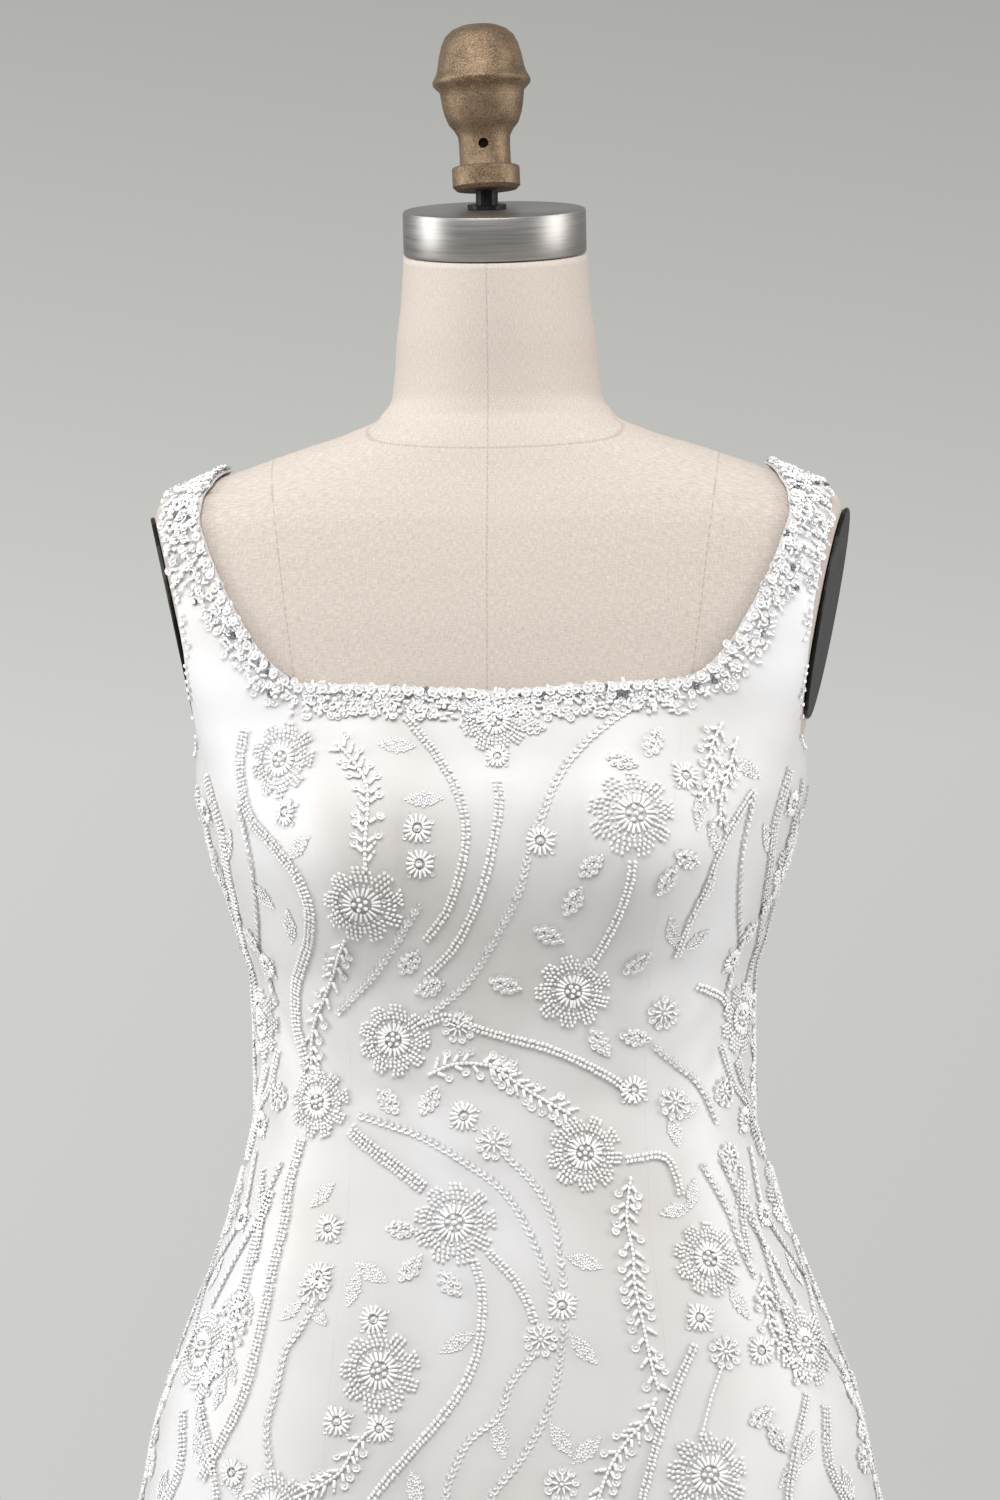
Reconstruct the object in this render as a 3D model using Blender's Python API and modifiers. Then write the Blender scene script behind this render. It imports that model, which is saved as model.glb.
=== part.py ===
# Beaded square-neck dress on a limbless dress form with a round-based stand.
# Metres, +Z up, the front towards -Y, the origin under the middle of the stand's base.
import math
from collections import namedtuple

import bmesh
import bpy
import numpy as np
from mathutils import Matrix, Vector

# Cloth
WALL = 0.0015
TRIM_WALL = 0.0020
CLOTH_GAP = 0.0014
PIECE_GAP = 0.0003
HEM_HEIGHT = 0.540
UNDERARM_HEIGHT = 1.172
NECKLINE_HEIGHT = 1.2085
NECKLINE_CORNER_HEIGHT = 1.2140
SIDE_SEAM_DIRECTION = (0.2, 0.0146)
TRIM_WIDTH = 0.021
TRIM_CELLS = 3
TRIM_ROWS = 2
TRIM_LIFT = 0.0005

# Grid of the panels: cells across each block and rows up it
CENTRE_CELLS = 5
SIDE_CELLS = 8
SKIRT_ROWS = 22
CHEST_ROWS = 4
STRAP_ROWS = 11
ARMHOLE_CHEST_SHARE = 0.27
STRAP_ROW_CROWDING = 0.12

# Soft flutes of the skirt, which grow from the hip to the hem
FLUTE_TOP = 0.880
FLUTE_DEPTH = 0.0065
FLUTES_ROUND = 8

# Dress form
FORM_BOTTOM = 0.740
NECK_TOP = 1.446
NECK_TILT = math.radians(11.5)
NECK_TILT_START = 1.375
FORM_COLUMNS = 36
FAN_HEIGHT = 1.200
FARTHEST = 0.45

# Arm plates, ovals on the flat armhole faces
PLATE_CENTRE = (0.1752, 0.008, 1.250)
PLATE_TILT = math.radians(11.5)
PLATE_TURN = math.radians(6.0)
PLATE_HALF_HEIGHT = 0.058
PLATE_HALF_DEPTH = 0.042
PLATE_THICKNESS = 0.0025
FACE_ROUNDING = 0.004

# Cap, stub and finial
CAP_RADIUS = 0.0495
CAP_THICKNESS = 0.024
CAP_CENTRE = (0.0, 0.0, 1.458)
CAP_ROUNDING = 0.0035
STUB_RADIUS = 0.006
STUB_TOP = 1.4795
STUB_OFFSET = -0.004
WASHER_RADIUS = 0.0105
WASHER_THICKNESS = 0.0020
FINIAL_LEAN = math.radians(-2.1)
FINIAL_HEIGHT = 0.0896
PIN_HOLE_RADIUS = 0.00275
PIN_HOLE_HEIGHT = 0.0238
PIN_HOLE_DEPTH = 0.010

# Stand
POLE_RADIUS = 0.0135
SOCKET_RADIUS = 0.055
SOCKET_THICKNESS = 0.010
SOCKET_NECK_HEIGHT = 0.028
SOCKET_NECK_RADII = (0.018, 0.020)
BASE_RADIUS = 0.180
BASE_EDGE_HEIGHT = 0.010
BASE_HUB_RADIUS = 0.030
BASE_HUB_HEIGHT = 0.042

# Centre back zip
ZIP_BOTTOM = 0.905
ZIP_HALF_OPENING = 0.0024
ZIP_CHAIN_WALL = 0.0012
SLIDER_HEIGHT = 1.2015
TRIM_HALF_OPENING = 0.0046
SLIDER_SIZE = (0.0060, 0.0026, 0.0090)
EAR_SIZE = (0.0010, 0.0044, 0.0036)
EAR_SPACING = 0.0036
EAR_ROOT = 0.0002
PIN_UNDER_EAR_TOP = 0.0012
PIN_ABOVE_MIDDLE = 0.0015
BLADE_DROP = 0.0008
PULL_PIN_RADIUS = 0.0007
PULL_EYE_HOLE = 0.0011
PULL_EYE_RADIUS = 0.0022
PULL_EYE_WIDTH = 0.0026
PULL_LENGTH = 0.021
PULL_HALF_WIDTH = 0.0030
PULL_THICKNESS = 0.0011

Section = namedtuple("Section", "height half_width front back square centre")
Spot = namedtuple("Spot", "x y z")
SeamRow = namedtuple("SeamRow", "height x")
Turned = namedtuple("Turned", "radius height")

# Level sections of the form: hips, waist, bust, shoulders and neck
FORM_SECTIONS = (
    Section(0.740, 0.166, 0.106, 0.120, 2.30, 0.000),
    Section(0.780, 0.171, 0.110, 0.126, 2.30, 0.000),
    Section(0.820, 0.172, 0.111, 0.128, 2.30, 0.000),
    Section(0.860, 0.166, 0.110, 0.122, 2.30, 0.000),
    Section(0.900, 0.155, 0.106, 0.111, 2.25, 0.000),
    Section(0.940, 0.1415, 0.100, 0.099, 2.20, 0.000),
    Section(0.975, 0.1325, 0.095, 0.091, 2.20, 0.000),
    Section(1.010, 0.1300, 0.093, 0.087, 2.20, 0.000),
    Section(1.045, 0.1310, 0.093, 0.087, 2.20, 0.000),
    Section(1.085, 0.1390, 0.096, 0.092, 2.25, 0.000),
    Section(1.125, 0.1520, 0.098, 0.100, 2.30, 0.000),
    Section(1.160, 0.1620, 0.098, 0.106, 2.35, 0.000),
    Section(1.195, 0.1720, 0.0965, 0.110, 2.40, 0.000),
    Section(1.230, 0.1820, 0.0920, 0.110, 2.45, 0.000),
    Section(1.265, 0.1890, 0.0845, 0.106, 2.45, 0.000),
    Section(1.292, 0.1905, 0.0770, 0.098, 2.45, 0.000),
    Section(1.309, 0.1850, 0.0715, 0.090, 2.35, 0.001),
    Section(1.3205, 0.1665, 0.0670, 0.082, 2.20, 0.002),
    Section(1.331, 0.1370, 0.0635, 0.075, 2.10, 0.003),
    Section(1.3415, 0.1070, 0.0610, 0.069, 2.05, 0.005),
    Section(1.351, 0.0790, 0.0590, 0.064, 2.00, 0.008),
    Section(1.360, 0.0630, 0.0570, 0.060, 2.00, 0.010),
    Section(1.373, 0.0566, 0.0548, 0.056, 2.00, 0.009),
    Section(1.400, 0.0540, 0.0525, 0.053, 2.00, 0.006),
    Section(1.420, 0.0514, 0.0510, 0.051, 2.00, 0.004),
    Section(1.446, 0.0495, 0.0495, 0.0495, 2.00, 0.0024),
)

# Level sections of the dress inside its wall; above the bust it simply lies on the form
DRESS_SECTIONS = (
    Section(0.540, 0.2510, 0.180, 0.190, 2.10, 0.000),
    Section(0.600, 0.2370, 0.167, 0.178, 2.12, 0.000),
    Section(0.660, 0.2230, 0.155, 0.166, 2.15, 0.000),
    Section(0.720, 0.2090, 0.143, 0.154, 2.20, 0.000),
    Section(0.775, 0.1960, 0.133, 0.145, 2.25, 0.000),
    Section(0.816, 0.1880, 0.127, 0.139, 2.28, 0.000),
    Section(0.859, 0.1740, 0.120, 0.131, 2.28, 0.000),
    Section(0.902, 0.1575, 0.113, 0.118, 2.25, 0.000),
    Section(0.9455, 0.1425, 0.104, 0.104, 2.20, 0.000),
    Section(0.989, 0.1335, 0.098, 0.093, 2.20, 0.000),
    Section(1.010, 0.1325, 0.096, 0.090, 2.20, 0.000),
    Section(1.0535, 0.1332, 0.098, 0.090, 2.20, 0.000),
    Section(1.075, 0.1385, 0.099, 0.092, 2.25, 0.000),
    Section(1.097, 0.1450, 0.100, 0.095, 2.25, 0.000),
    Section(1.1345, 0.1570, 0.101, 0.102, 2.30, 0.000),
    Section(1.172, 0.1630, 0.099, 0.108, 2.35, 0.000),
    Section(1.210, 0.1600, 0.094, 0.108, 2.40, 0.000),
    Section(1.250, 0.1450, 0.070, 0.090, 2.40, 0.000),
    Section(1.330, 0.0900, 0.030, 0.040, 2.20, 0.000),
)

# Bust of the form, and the smoother line that the cloth takes over it
BustShape = namedtuple("BustShape", "height depth above below side spread bridge")
FORM_BUST = BustShape(1.122, 0.026, 0.050, 0.040, 0.078, 0.046, 0.10)
DRESS_BUST = BustShape(1.124, 0.027, 0.058, 0.052, 0.078, 0.050, 0.70)

# Princess seam of the front, and the fold line it shares with the back, hem to neckline
SEAM_ROWS = (
    SeamRow(0.540, 0.128),
    SeamRow(0.660, 0.108),
    SeamRow(0.775, 0.0945),
    SeamRow(0.873, 0.0850),
    SeamRow(0.950, 0.0775),
    SeamRow(1.010, 0.0765),
    SeamRow(1.060, 0.0800),
    SeamRow(1.125, 0.0900),
    SeamRow(1.172, 0.0960),
    SeamRow(1.214, 0.1000),
)

# Inner and outer edges of a strap, from the neckline corner and the underarm to the shoulder
FRONT_STRAP_INNER = (
    Spot(0.1000, -0.0830, 1.2140),
    Spot(0.1130, -0.0740, 1.2270),
    Spot(0.1220, -0.0670, 1.2430),
    Spot(0.1315, -0.0570, 1.2650),
    Spot(0.1380, -0.0440, 1.2910),
    Spot(0.1415, -0.0260, 1.3160),
    Spot(0.1420, -0.0002, 1.3290),
)
FRONT_ARMHOLE = (
    Spot(0.1645, 0.0120, 1.1720),
    Spot(0.1640, -0.0150, 1.1760),
    Spot(0.1620, -0.0380, 1.1910),
    Spot(0.1625, -0.0490, 1.2150),
    Spot(0.1645, -0.0510, 1.2400),
    Spot(0.1680, -0.0470, 1.2650),
    Spot(0.1715, -0.0380, 1.2900),
    Spot(0.1745, -0.0210, 1.3110),
    Spot(0.1755, -0.0002, 1.3190),
)
BACK_STRAP_INNER = (
    Spot(0.1000, 0.0940, 1.2140),
    Spot(0.1130, 0.0860, 1.2270),
    Spot(0.1220, 0.0800, 1.2430),
    Spot(0.1315, 0.0690, 1.2650),
    Spot(0.1380, 0.0540, 1.2910),
    Spot(0.1415, 0.0310, 1.3160),
    Spot(0.1420, 0.0002, 1.3290),
)
BACK_ARMHOLE = (
    Spot(0.1645, 0.0120, 1.1720),
    Spot(0.1640, 0.0370, 1.1760),
    Spot(0.1620, 0.0570, 1.1910),
    Spot(0.1610, 0.0670, 1.2150),
    Spot(0.1630, 0.0690, 1.2400),
    Spot(0.1670, 0.0640, 1.2650),
    Spot(0.1710, 0.0510, 1.2900),
    Spot(0.1745, 0.0270, 1.3110),
    Spot(0.1755, 0.0002, 1.3190),
)

# Turned profile of the finial, from its foot up
FINIAL_PROFILE = (
    Turned(0.0163, 0.0000),
    Turned(0.0183, 0.0020),
    Turned(0.0183, 0.0118),
    Turned(0.0176, 0.0125),
    Turned(0.0142, 0.0130),
    Turned(0.0138, 0.0150),
    Turned(0.0138, 0.0240),
    Turned(0.0141, 0.0290),
    Turned(0.0160, 0.0325),
    Turned(0.0188, 0.0358),
    Turned(0.0208, 0.0410),
    Turned(0.0219, 0.0460),
    Turned(0.0229, 0.0535),
    Turned(0.0250, 0.0548),
    Turned(0.0265, 0.0570),
    Turned(0.0265, 0.0625),
    Turned(0.0255, 0.0640),
    Turned(0.0232, 0.0646),
    Turned(0.0225, 0.0680),
    Turned(0.0218, 0.0740),
    Turned(0.0205, 0.0795),
    Turned(0.0184, 0.0835),
    Turned(0.0150, 0.0864),
    Turned(0.0100, 0.0886),
    Turned(0.0050, 0.0894),
)


# Scene, materials and small mesh helpers

def clear_scene():
    for thing in list(bpy.data.objects):
        bpy.data.objects.remove(thing, do_unlink=True)


def make_collection(name):
    collection = bpy.data.collections.new(name)
    bpy.context.scene.collection.children.link(collection)
    return collection


def make_material(name, colour, roughness, metallic=0.0):
    material = bpy.data.materials.new(name)
    material.use_nodes = True
    shader = material.node_tree.nodes["Principled BSDF"]
    shader.inputs["Base Color"].default_value = (*colour, 1.0)
    shader.inputs["Roughness"].default_value = roughness
    shader.inputs["Metallic"].default_value = metallic
    return material


def place(name, mesh, material, collection, smooth=True):
    thing = bpy.data.objects.new(name, mesh)
    collection.objects.link(thing)
    mesh.materials.append(material)
    if smooth:
        mesh.shade_smooth()
        mesh.set_sharp_from_angle(angle=math.radians(40))
    return thing


def mesh_from(name, points, faces):
    mesh = bpy.data.meshes.new(name)
    mesh.from_pydata([tuple(float(value) for value in point) for point in points], [], faces)
    mesh.validate()
    return mesh


def add_solidify(thing, thickness):
    wall = thing.modifiers.new("wall", "SOLIDIFY")
    wall.thickness = thickness
    wall.offset = 1.0
    wall.use_even_offset = True
    return wall


def add_bevel(thing, width, segments=2):
    bevel = thing.modifiers.new("rounding", "BEVEL")
    bevel.width = width
    bevel.segments = segments
    bevel.limit_method = "ANGLE"
    bevel.angle_limit = math.radians(40)
    return bevel


def add_boolean(thing, cutter, operation):
    cut = thing.modifiers.new(operation.lower(), "BOOLEAN")
    cut.operation = operation
    cut.solver = "EXACT"
    cut.object = cutter
    cutter.hide_render = True
    cutter.display_type = "WIRE"
    return cut


def turned_mesh(name, profile, steps):
    # The profile runs from the axis at the top, down the outer side, to the axis at the foot.
    mesh = bpy.data.meshes.new(name)
    edges = [(row, row + 1) for row in range(len(profile) - 1)]
    mesh.from_pydata([(radius, 0.0, height) for radius, height in profile], edges, [])
    thing = bpy.data.objects.new(name + "_profile", mesh)
    bpy.context.scene.collection.objects.link(thing)
    screw = thing.modifiers.new("turn", "SCREW")
    screw.axis = "Z"
    screw.angle = math.tau
    screw.steps = steps
    screw.render_steps = steps
    screw.use_merge_vertices = True
    screw.merge_threshold = 0.00002
    depsgraph = bpy.context.evaluated_depsgraph_get()
    turned = bpy.data.meshes.new_from_object(thing.evaluated_get(depsgraph))
    turned.name = name
    bpy.data.objects.remove(thing, do_unlink=True)
    return turned


def rounded_corner(centre_radius, centre_height, rounding, start, end, steps=4):
    angles = np.radians(np.linspace(start, end, steps + 1))
    return [
        (centre_radius + rounding * math.cos(angle), centre_height + rounding * math.sin(angle))
        for angle in angles
    ]


# The shapes of the form and of the cloth on it

def smooth_rows(heights, known, values):
    # A cubic through the rows of a table that never overshoots between two rows.
    steps = np.diff(known)
    rises = np.diff(values) / steps
    slopes = np.zeros(len(values))
    same_way = rises[:-1] * rises[1:] > 0
    total = np.where(same_way, rises[:-1] + rises[1:], 1.0)
    slopes[1:-1] = np.where(same_way, 2.0 * rises[:-1] * rises[1:] / total, 0.0)
    slopes[0] = rises[0]
    slopes[-1] = rises[-1]
    spot = np.clip(np.searchsorted(known, heights) - 1, 0, len(steps) - 1)
    share = np.clip((heights - known[spot]) / steps[spot], 0.0, 1.0)
    left = values[spot] + slopes[spot] * steps[spot] * share
    right = values[spot + 1] - slopes[spot + 1] * steps[spot] * (1.0 - share)
    ease = share * share * (3.0 - 2.0 * share)
    return left * (1.0 - ease) + right * ease


def column(sections, field):
    return np.array([getattr(section, field) for section in sections])


def section_at(heights, sections):
    known = column(sections, "height")
    fields = ("half_width", "front", "back", "square", "centre")
    return [smooth_rows(heights, known, column(sections, field)) for field in fields]


def bust_depth(x, z, bust):
    # Two soft mounds side by side, with the cloth bridging the dip between them.
    away = z - bust.height
    reach_up = np.where(away > 0, bust.above, bust.below)
    upright = np.exp(-(away / reach_up) ** 2)
    mounds = np.exp(-((np.abs(x) - bust.side) / bust.spread) ** 2)
    between = np.where(np.abs(x) < bust.side, np.maximum(mounds, bust.bridge), mounds)
    return bust.depth * upright * between


def is_inside(points, sections, bust):
    x, y, z = points.T
    half_width, front, back, square, centre = section_at(z, sections)
    y = y - centre
    swell = bust_depth(x, z, bust)
    y = np.where(y < 0, np.minimum(y + swell, 0.0), y)
    depth = np.where(y < 0, front, back)
    return (np.abs(x) / half_width) ** square + (np.abs(y) / depth) ** square < 1.0


def distance_out(starts, directions, sections, bust):
    # How far each ray goes before it leaves the shape, by halving.
    near = np.zeros(len(starts))
    far = np.full(len(starts), FARTHEST)
    for _ in range(32):
        middle = (near + far) / 2.0
        inside = is_inside(starts + directions * middle[:, None], sections, bust)
        near = np.where(inside, middle, near)
        far = np.where(inside, far, middle)
    return near


def soft_min(first, second, width):
    mix = np.clip(0.5 + 0.5 * (second - first) / width, 0.0, 1.0)
    return second * (1.0 - mix) + first * mix - width * mix * (1.0 - mix)


def soft_max(first, second, width):
    return -soft_min(-first, -second, width)


def plate_normal(side):
    return np.array([
        side * math.cos(PLATE_TURN) * math.cos(PLATE_TILT),
        -math.sin(PLATE_TURN) * math.cos(PLATE_TILT),
        -math.sin(PLATE_TILT),
    ])


def armhole_face(starts, directions, side):
    normal = plate_normal(side)
    corner = np.array([side * PLATE_CENTRE[0], PLATE_CENTRE[1], PLATE_CENTRE[2]])
    facing = directions @ normal
    ahead = facing > 0.05
    return np.where(ahead, (corner - starts) @ normal / np.where(ahead, facing, 1.0), FARTHEST)


def form_distance(starts, directions):
    distance = distance_out(starts, directions, FORM_SECTIONS, FORM_BUST)
    for side in (-1, 1):
        distance = soft_min(distance, armhole_face(starts, directions, side), FACE_ROUNDING)
    return distance


def flutes(directions, heights):
    angle = np.arctan2(directions[:, 0], -directions[:, 1])
    growth = np.clip((FLUTE_TOP - heights) / (FLUTE_TOP - HEM_HEIGHT), 0.0, 1.0) ** 1.5
    wave = np.cos(FLUTES_ROUND * angle) + 0.4 * np.cos((FLUTES_ROUND - 3) * angle)
    return FLUTE_DEPTH * growth * wave


def dress_distance(starts, directions):
    lying = form_distance(starts, directions) + CLOTH_GAP
    cut = distance_out(starts, directions, DRESS_SECTIONS, DRESS_BUST)
    cut = cut + flutes(directions, starts[:, 2])
    return soft_max(lying, cut, 0.003)


def rays_to(points):
    starts = np.zeros_like(points)
    starts[:, 2] = np.minimum(points[:, 2], FAN_HEIGHT)
    directions = points - starts
    return starts, directions / np.linalg.norm(directions, axis=1)[:, None]


def onto_dress(points):
    # The inner side of the cloth.
    starts, directions = rays_to(points)
    return starts + directions * dress_distance(starts, directions)[:, None]


# Edges of the panels

def smooth_path(spots, shares):
    # A curve through the spots of an edge, sampled at shares of its length.
    known = np.array(spots)
    lengths = np.linalg.norm(np.diff(known, axis=0), axis=1)
    along = np.concatenate([[0.0], np.cumsum(lengths)]) / lengths.sum()
    return np.stack([smooth_rows(shares, along, known[:, axis]) for axis in range(3)], axis=1)


def at_width(x, heights, facing):
    # The points of the cloth at the given x on the front (-1) or the back (+1).
    spots = np.stack([x, np.full_like(x, facing * 0.1), heights], axis=1)
    for _ in range(6):
        spots[:, 1] = onto_dress(spots)[:, 1]
    return spots


def seam_x(heights):
    known = np.array([row.height for row in SEAM_ROWS])
    return smooth_rows(heights, known, np.array([row.x for row in SEAM_ROWS]))


def side_seam(heights):
    x, y = SIDE_SEAM_DIRECTION
    return onto_dress(np.stack([np.full_like(heights, x), np.full_like(heights, y), heights], axis=1))


def skirt_heights():
    return np.linspace(HEM_HEIGHT, UNDERARM_HEIGHT, SKIRT_ROWS + 1)


def chest_shares():
    return np.linspace(0.0, 1.0, CHEST_ROWS + 1)[1:]


def strap_shares():
    # Rows close up towards the shoulder, where the cloth bends over the ridge.
    even = np.linspace(0.0, 1.0, STRAP_ROWS + 1)[1:]
    return even + STRAP_ROW_CROWDING * np.sin(math.pi * even)


def inner_edge(facing, inner_spots):
    # Princess line from the hem to the neckline corner, then up the inner strap edge.
    chest = UNDERARM_HEIGHT + chest_shares() * (NECKLINE_CORNER_HEIGHT - UNDERARM_HEIGHT)
    heights = np.concatenate([skirt_heights(), chest])
    seam = at_width(seam_x(heights), heights, facing)
    return np.concatenate([seam, smooth_path(inner_spots, strap_shares())])


def outer_edge(armhole_spots):
    # Side seam from the hem to the underarm, then round the armhole to the shoulder.
    chest = chest_shares() * ARMHOLE_CHEST_SHARE
    strap = ARMHOLE_CHEST_SHARE + strap_shares() * (1.0 - ARMHOLE_CHEST_SHARE)
    armhole = smooth_path(armhole_spots, np.concatenate([chest, strap]))
    return np.concatenate([side_seam(skirt_heights()), armhole])


def centre_edge(facing):
    rows = SKIRT_ROWS + 1 + CHEST_ROWS
    heights = np.concatenate([
        skirt_heights(),
        UNDERARM_HEIGHT + chest_shares() * (NECKLINE_HEIGHT - UNDERARM_HEIGHT),
    ])
    return at_width(np.zeros(rows), heights, facing)


def even_shares(rows, cells):
    return np.tile(np.linspace(0.0, 1.0, cells + 1), (rows, 1))


def trimmed_shares(first, second):
    # Near the neckline the first cells of a row are as wide as the trim that lies on them.
    shares = even_shares(len(first), SIDE_CELLS)
    widths = np.linalg.norm(second - first, axis=1)
    start = SKIRT_ROWS + CHEST_ROWS - TRIM_ROWS
    for row in range(SKIRT_ROWS, len(first)):
        ready = min(1.0, (row - SKIRT_ROWS) / (start - SKIRT_ROWS))
        trim = TRIM_WIDTH / widths[row]
        known = [0, TRIM_CELLS, SIDE_CELLS]
        fitted = np.interp(np.arange(SIDE_CELLS + 1), known, [0.0, trim, 1.0])
        shares[row] = shares[row] * (1.0 - ready) + fitted * ready
    return shares


def between(first, second, shares):
    # A grid of cloth points between two edges, as [row][cell] points.
    near, far = first[:, None, :], second[:, None, :]
    chords = near * (1.0 - shares)[:, :, None] + far * shares[:, :, None]
    return onto_dress(chords.reshape(-1, 3)).reshape(*shares.shape, 3)


def pull_in(grid, side, amount):
    # Moves one long edge of a grid into the panel by an amount, or one amount for each row.
    edge, inner = (0, 1) if side == "first" else (-1, -2)
    way = grid[:, inner] - grid[:, edge]
    way = way / np.linalg.norm(way, axis=1)[:, None]
    moved = grid.copy()
    moved[:, edge] = grid[:, edge] + way * np.reshape(amount, (-1, 1))
    return moved


def add_grid(shell, grid, side):
    flip = np.array([float(side), 1.0, 1.0])
    corners = [[shell.verts.new(point * flip) for point in row] for row in grid]
    for lower, upper in zip(corners, corners[1:]):
        for cell in range(len(lower) - 1):
            face = [lower[cell], lower[cell + 1], upper[cell + 1], upper[cell]]
            if side < 0:
                face = [lower[cell], upper[cell], upper[cell + 1], lower[cell + 1]]
            shell.faces.new(face)


def grid_mesh(name, grids, sides=(1,)):
    # Joins grids that share edges into one open surface that faces outwards.
    mesh = bpy.data.meshes.new(name)
    shell = bmesh.new()
    for side in sides:
        for grid in grids:
            add_grid(shell, grid, side)
    bmesh.ops.remove_doubles(shell, verts=shell.verts, dist=0.00002)
    shell.normal_update()
    face_outwards(shell)
    shell.to_mesh(mesh)
    shell.free()
    return mesh


def face_outwards(shell):
    outwards = 0.0
    for face in shell.faces:
        middle = face.calc_center_median()
        start = Vector((0.0, 0.0, min(middle.z, FAN_HEIGHT)))
        outwards += face.normal.dot((middle - start).normalized())
    if outwards < 0.0:
        bmesh.ops.reverse_faces(shell, faces=shell.faces)


# Dress panels

def centre_grid(facing):
    # Half of the middle of the front or back, from the centre line to the princess line.
    corner_rows = SKIRT_ROWS + 1 + CHEST_ROWS
    inner_spots = FRONT_STRAP_INNER if facing < 0 else BACK_STRAP_INNER
    seam = inner_edge(facing, inner_spots)[:corner_rows]
    return between(centre_edge(facing), seam, even_shares(corner_rows, CENTRE_CELLS))


def side_grid(facing):
    # The side of the front or back, from the princess line to the side seam, with its strap.
    inner = inner_edge(facing, FRONT_STRAP_INNER if facing < 0 else BACK_STRAP_INNER)
    outer = outer_edge(FRONT_ARMHOLE if facing < 0 else BACK_ARMHOLE)
    return between(inner, outer, trimmed_shares(inner, outer))


def part_at_side_seam(grid):
    below_underarm = np.arange(len(grid)) <= SKIRT_ROWS
    return pull_in(grid, "second", np.where(below_underarm, PIECE_GAP / 2.0, 0.0))


def make_front_center(material, collection):
    half = pull_in(centre_grid(-1), "second", PIECE_GAP / 2.0)
    panel = place("front_center", grid_mesh("front_center", [half], (-1, 1)), material, collection)
    add_solidify(panel, WALL)
    return panel


def make_side_front(name, side, material, collection):
    grid = part_at_side_seam(side_grid(-1))
    seam_rows = SKIRT_ROWS + 1 + CHEST_ROWS
    princess_gap = np.where(np.arange(len(grid)) < seam_rows, PIECE_GAP / 2.0, 0.0)
    grid = pull_in(grid, "first", princess_gap)
    panel = place(name, grid_mesh(name, [grid], (side,)), material, collection)
    add_solidify(panel, WALL)
    return panel


def zip_half_opening():
    heights = centre_edge(1)[:, 2]
    return np.where(heights > ZIP_BOTTOM, ZIP_HALF_OPENING, PIECE_GAP / 2.0)


def make_back(name, side, material, collection):
    grids = [pull_in(centre_grid(1), "first", zip_half_opening()), part_at_side_seam(side_grid(1))]
    panel = place(name, grid_mesh(name, grids, (side,)), material, collection)
    add_solidify(panel, WALL)
    return panel


# Neckline trim

def outward_normals(points):
    # The cloth's own direction at each point, from close points on both sides of it.
    step = 0.001
    _, out = rays_to(points)
    across = np.cross(out, np.array([0.0, 0.0, 1.0]))
    across = across / np.linalg.norm(across, axis=1)[:, None]
    up = np.cross(across, out)
    beside = onto_dress(points + across * step) - onto_dress(points - across * step)
    above = onto_dress(points + up * step) - onto_dress(points - up * step)
    normals = np.cross(beside, above)
    normals = normals / np.linalg.norm(normals, axis=1)[:, None]
    return normals * np.sign(np.sum(normals * out, axis=1))[:, None]


def lifted(grid):
    # The points of a panel, moved out of its wall.
    points = grid.reshape(-1, 3)
    return (points + outward_normals(points) * (WALL + TRIM_LIFT)).reshape(grid.shape)


def trim_grids(facing):
    # The top rows of the middle and the first cells of the side and its strap.
    low_row = SKIRT_ROWS + CHEST_ROWS - TRIM_ROWS
    middle = lifted(centre_grid(facing)[low_row:])
    side = lifted(side_grid(facing)[low_row:, : TRIM_CELLS + 1])
    return middle, side


def make_trim(name, grids, sides, material, collection):
    trim = place(name, grid_mesh(name, grids, sides), material, collection)
    add_solidify(trim, TRIM_WALL)
    return trim


def make_front_trim(material, collection):
    return make_trim("neckline_trim_front", trim_grids(-1), (-1, 1), material, collection)


def make_back_trim(name, side, material, collection):
    middle, strap = trim_grids(1)
    middle = pull_in(middle, "first", TRIM_HALF_OPENING)
    return make_trim(name, [middle, strap], (side,), material, collection)


# Centre back zip

def make_zip_chain(material, collection):
    heights = np.linspace(ZIP_BOTTOM + 0.012, NECKLINE_HEIGHT - 0.001, 15)
    half = ZIP_HALF_OPENING - PIECE_GAP
    edges = [at_width(np.full(len(heights), x), heights, 1) for x in (-half, 0.0, half)]
    chain = place("zip_chain", grid_mesh("zip_chain", [np.stack(edges, axis=1)]), material, collection)
    add_solidify(chain, ZIP_CHAIN_WALL)
    return chain


def slider_seat():
    # Where the slider's inner face lies, just outside the back's wall.
    back = at_width(np.zeros(1), np.array([SLIDER_HEIGHT]), 1)[0]
    return float(back[1]) + WALL + 2.0 * PIECE_GAP


def box_mesh(name, size):
    mesh = bpy.data.meshes.new(name)
    block = bmesh.new()
    bmesh.ops.create_cube(block, size=1.0, matrix=Matrix.Diagonal((*size, 1.0)))
    block.to_mesh(mesh)
    block.free()
    return mesh


def cylinder_mesh(name, radius, depth, segments, turn=None):
    mesh = bpy.data.meshes.new(name)
    rod = bmesh.new()
    matrix = turn if turn is not None else Matrix.Identity(4)
    bmesh.ops.create_cone(
        rod, cap_ends=True, segments=segments, radius1=radius, radius2=radius, depth=depth, matrix=matrix
    )
    rod.to_mesh(mesh)
    rod.free()
    return mesh


def join_solids(name, pieces, material, collection, cutters):
    # One solid from pieces that run into each other.
    first, *others = pieces
    for number, (mesh, spot) in enumerate(others):
        helper = bpy.data.objects.new(f"{name}_part_{number}", mesh)
        cutters.objects.link(helper)
        helper.location = spot
        others[number] = helper
    whole = place(name, first[0], material, collection, smooth=False)
    whole.location = first[1]
    for helper in others:
        add_boolean(whole, helper, "UNION")
    return whole


def pull_axis():
    return Vector((
        0.0,
        slider_seat() + SLIDER_SIZE[1] + EAR_SIZE[1] - PIN_UNDER_EAR_TOP,
        SLIDER_HEIGHT + PIN_ABOVE_MIDDLE,
    ))


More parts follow.
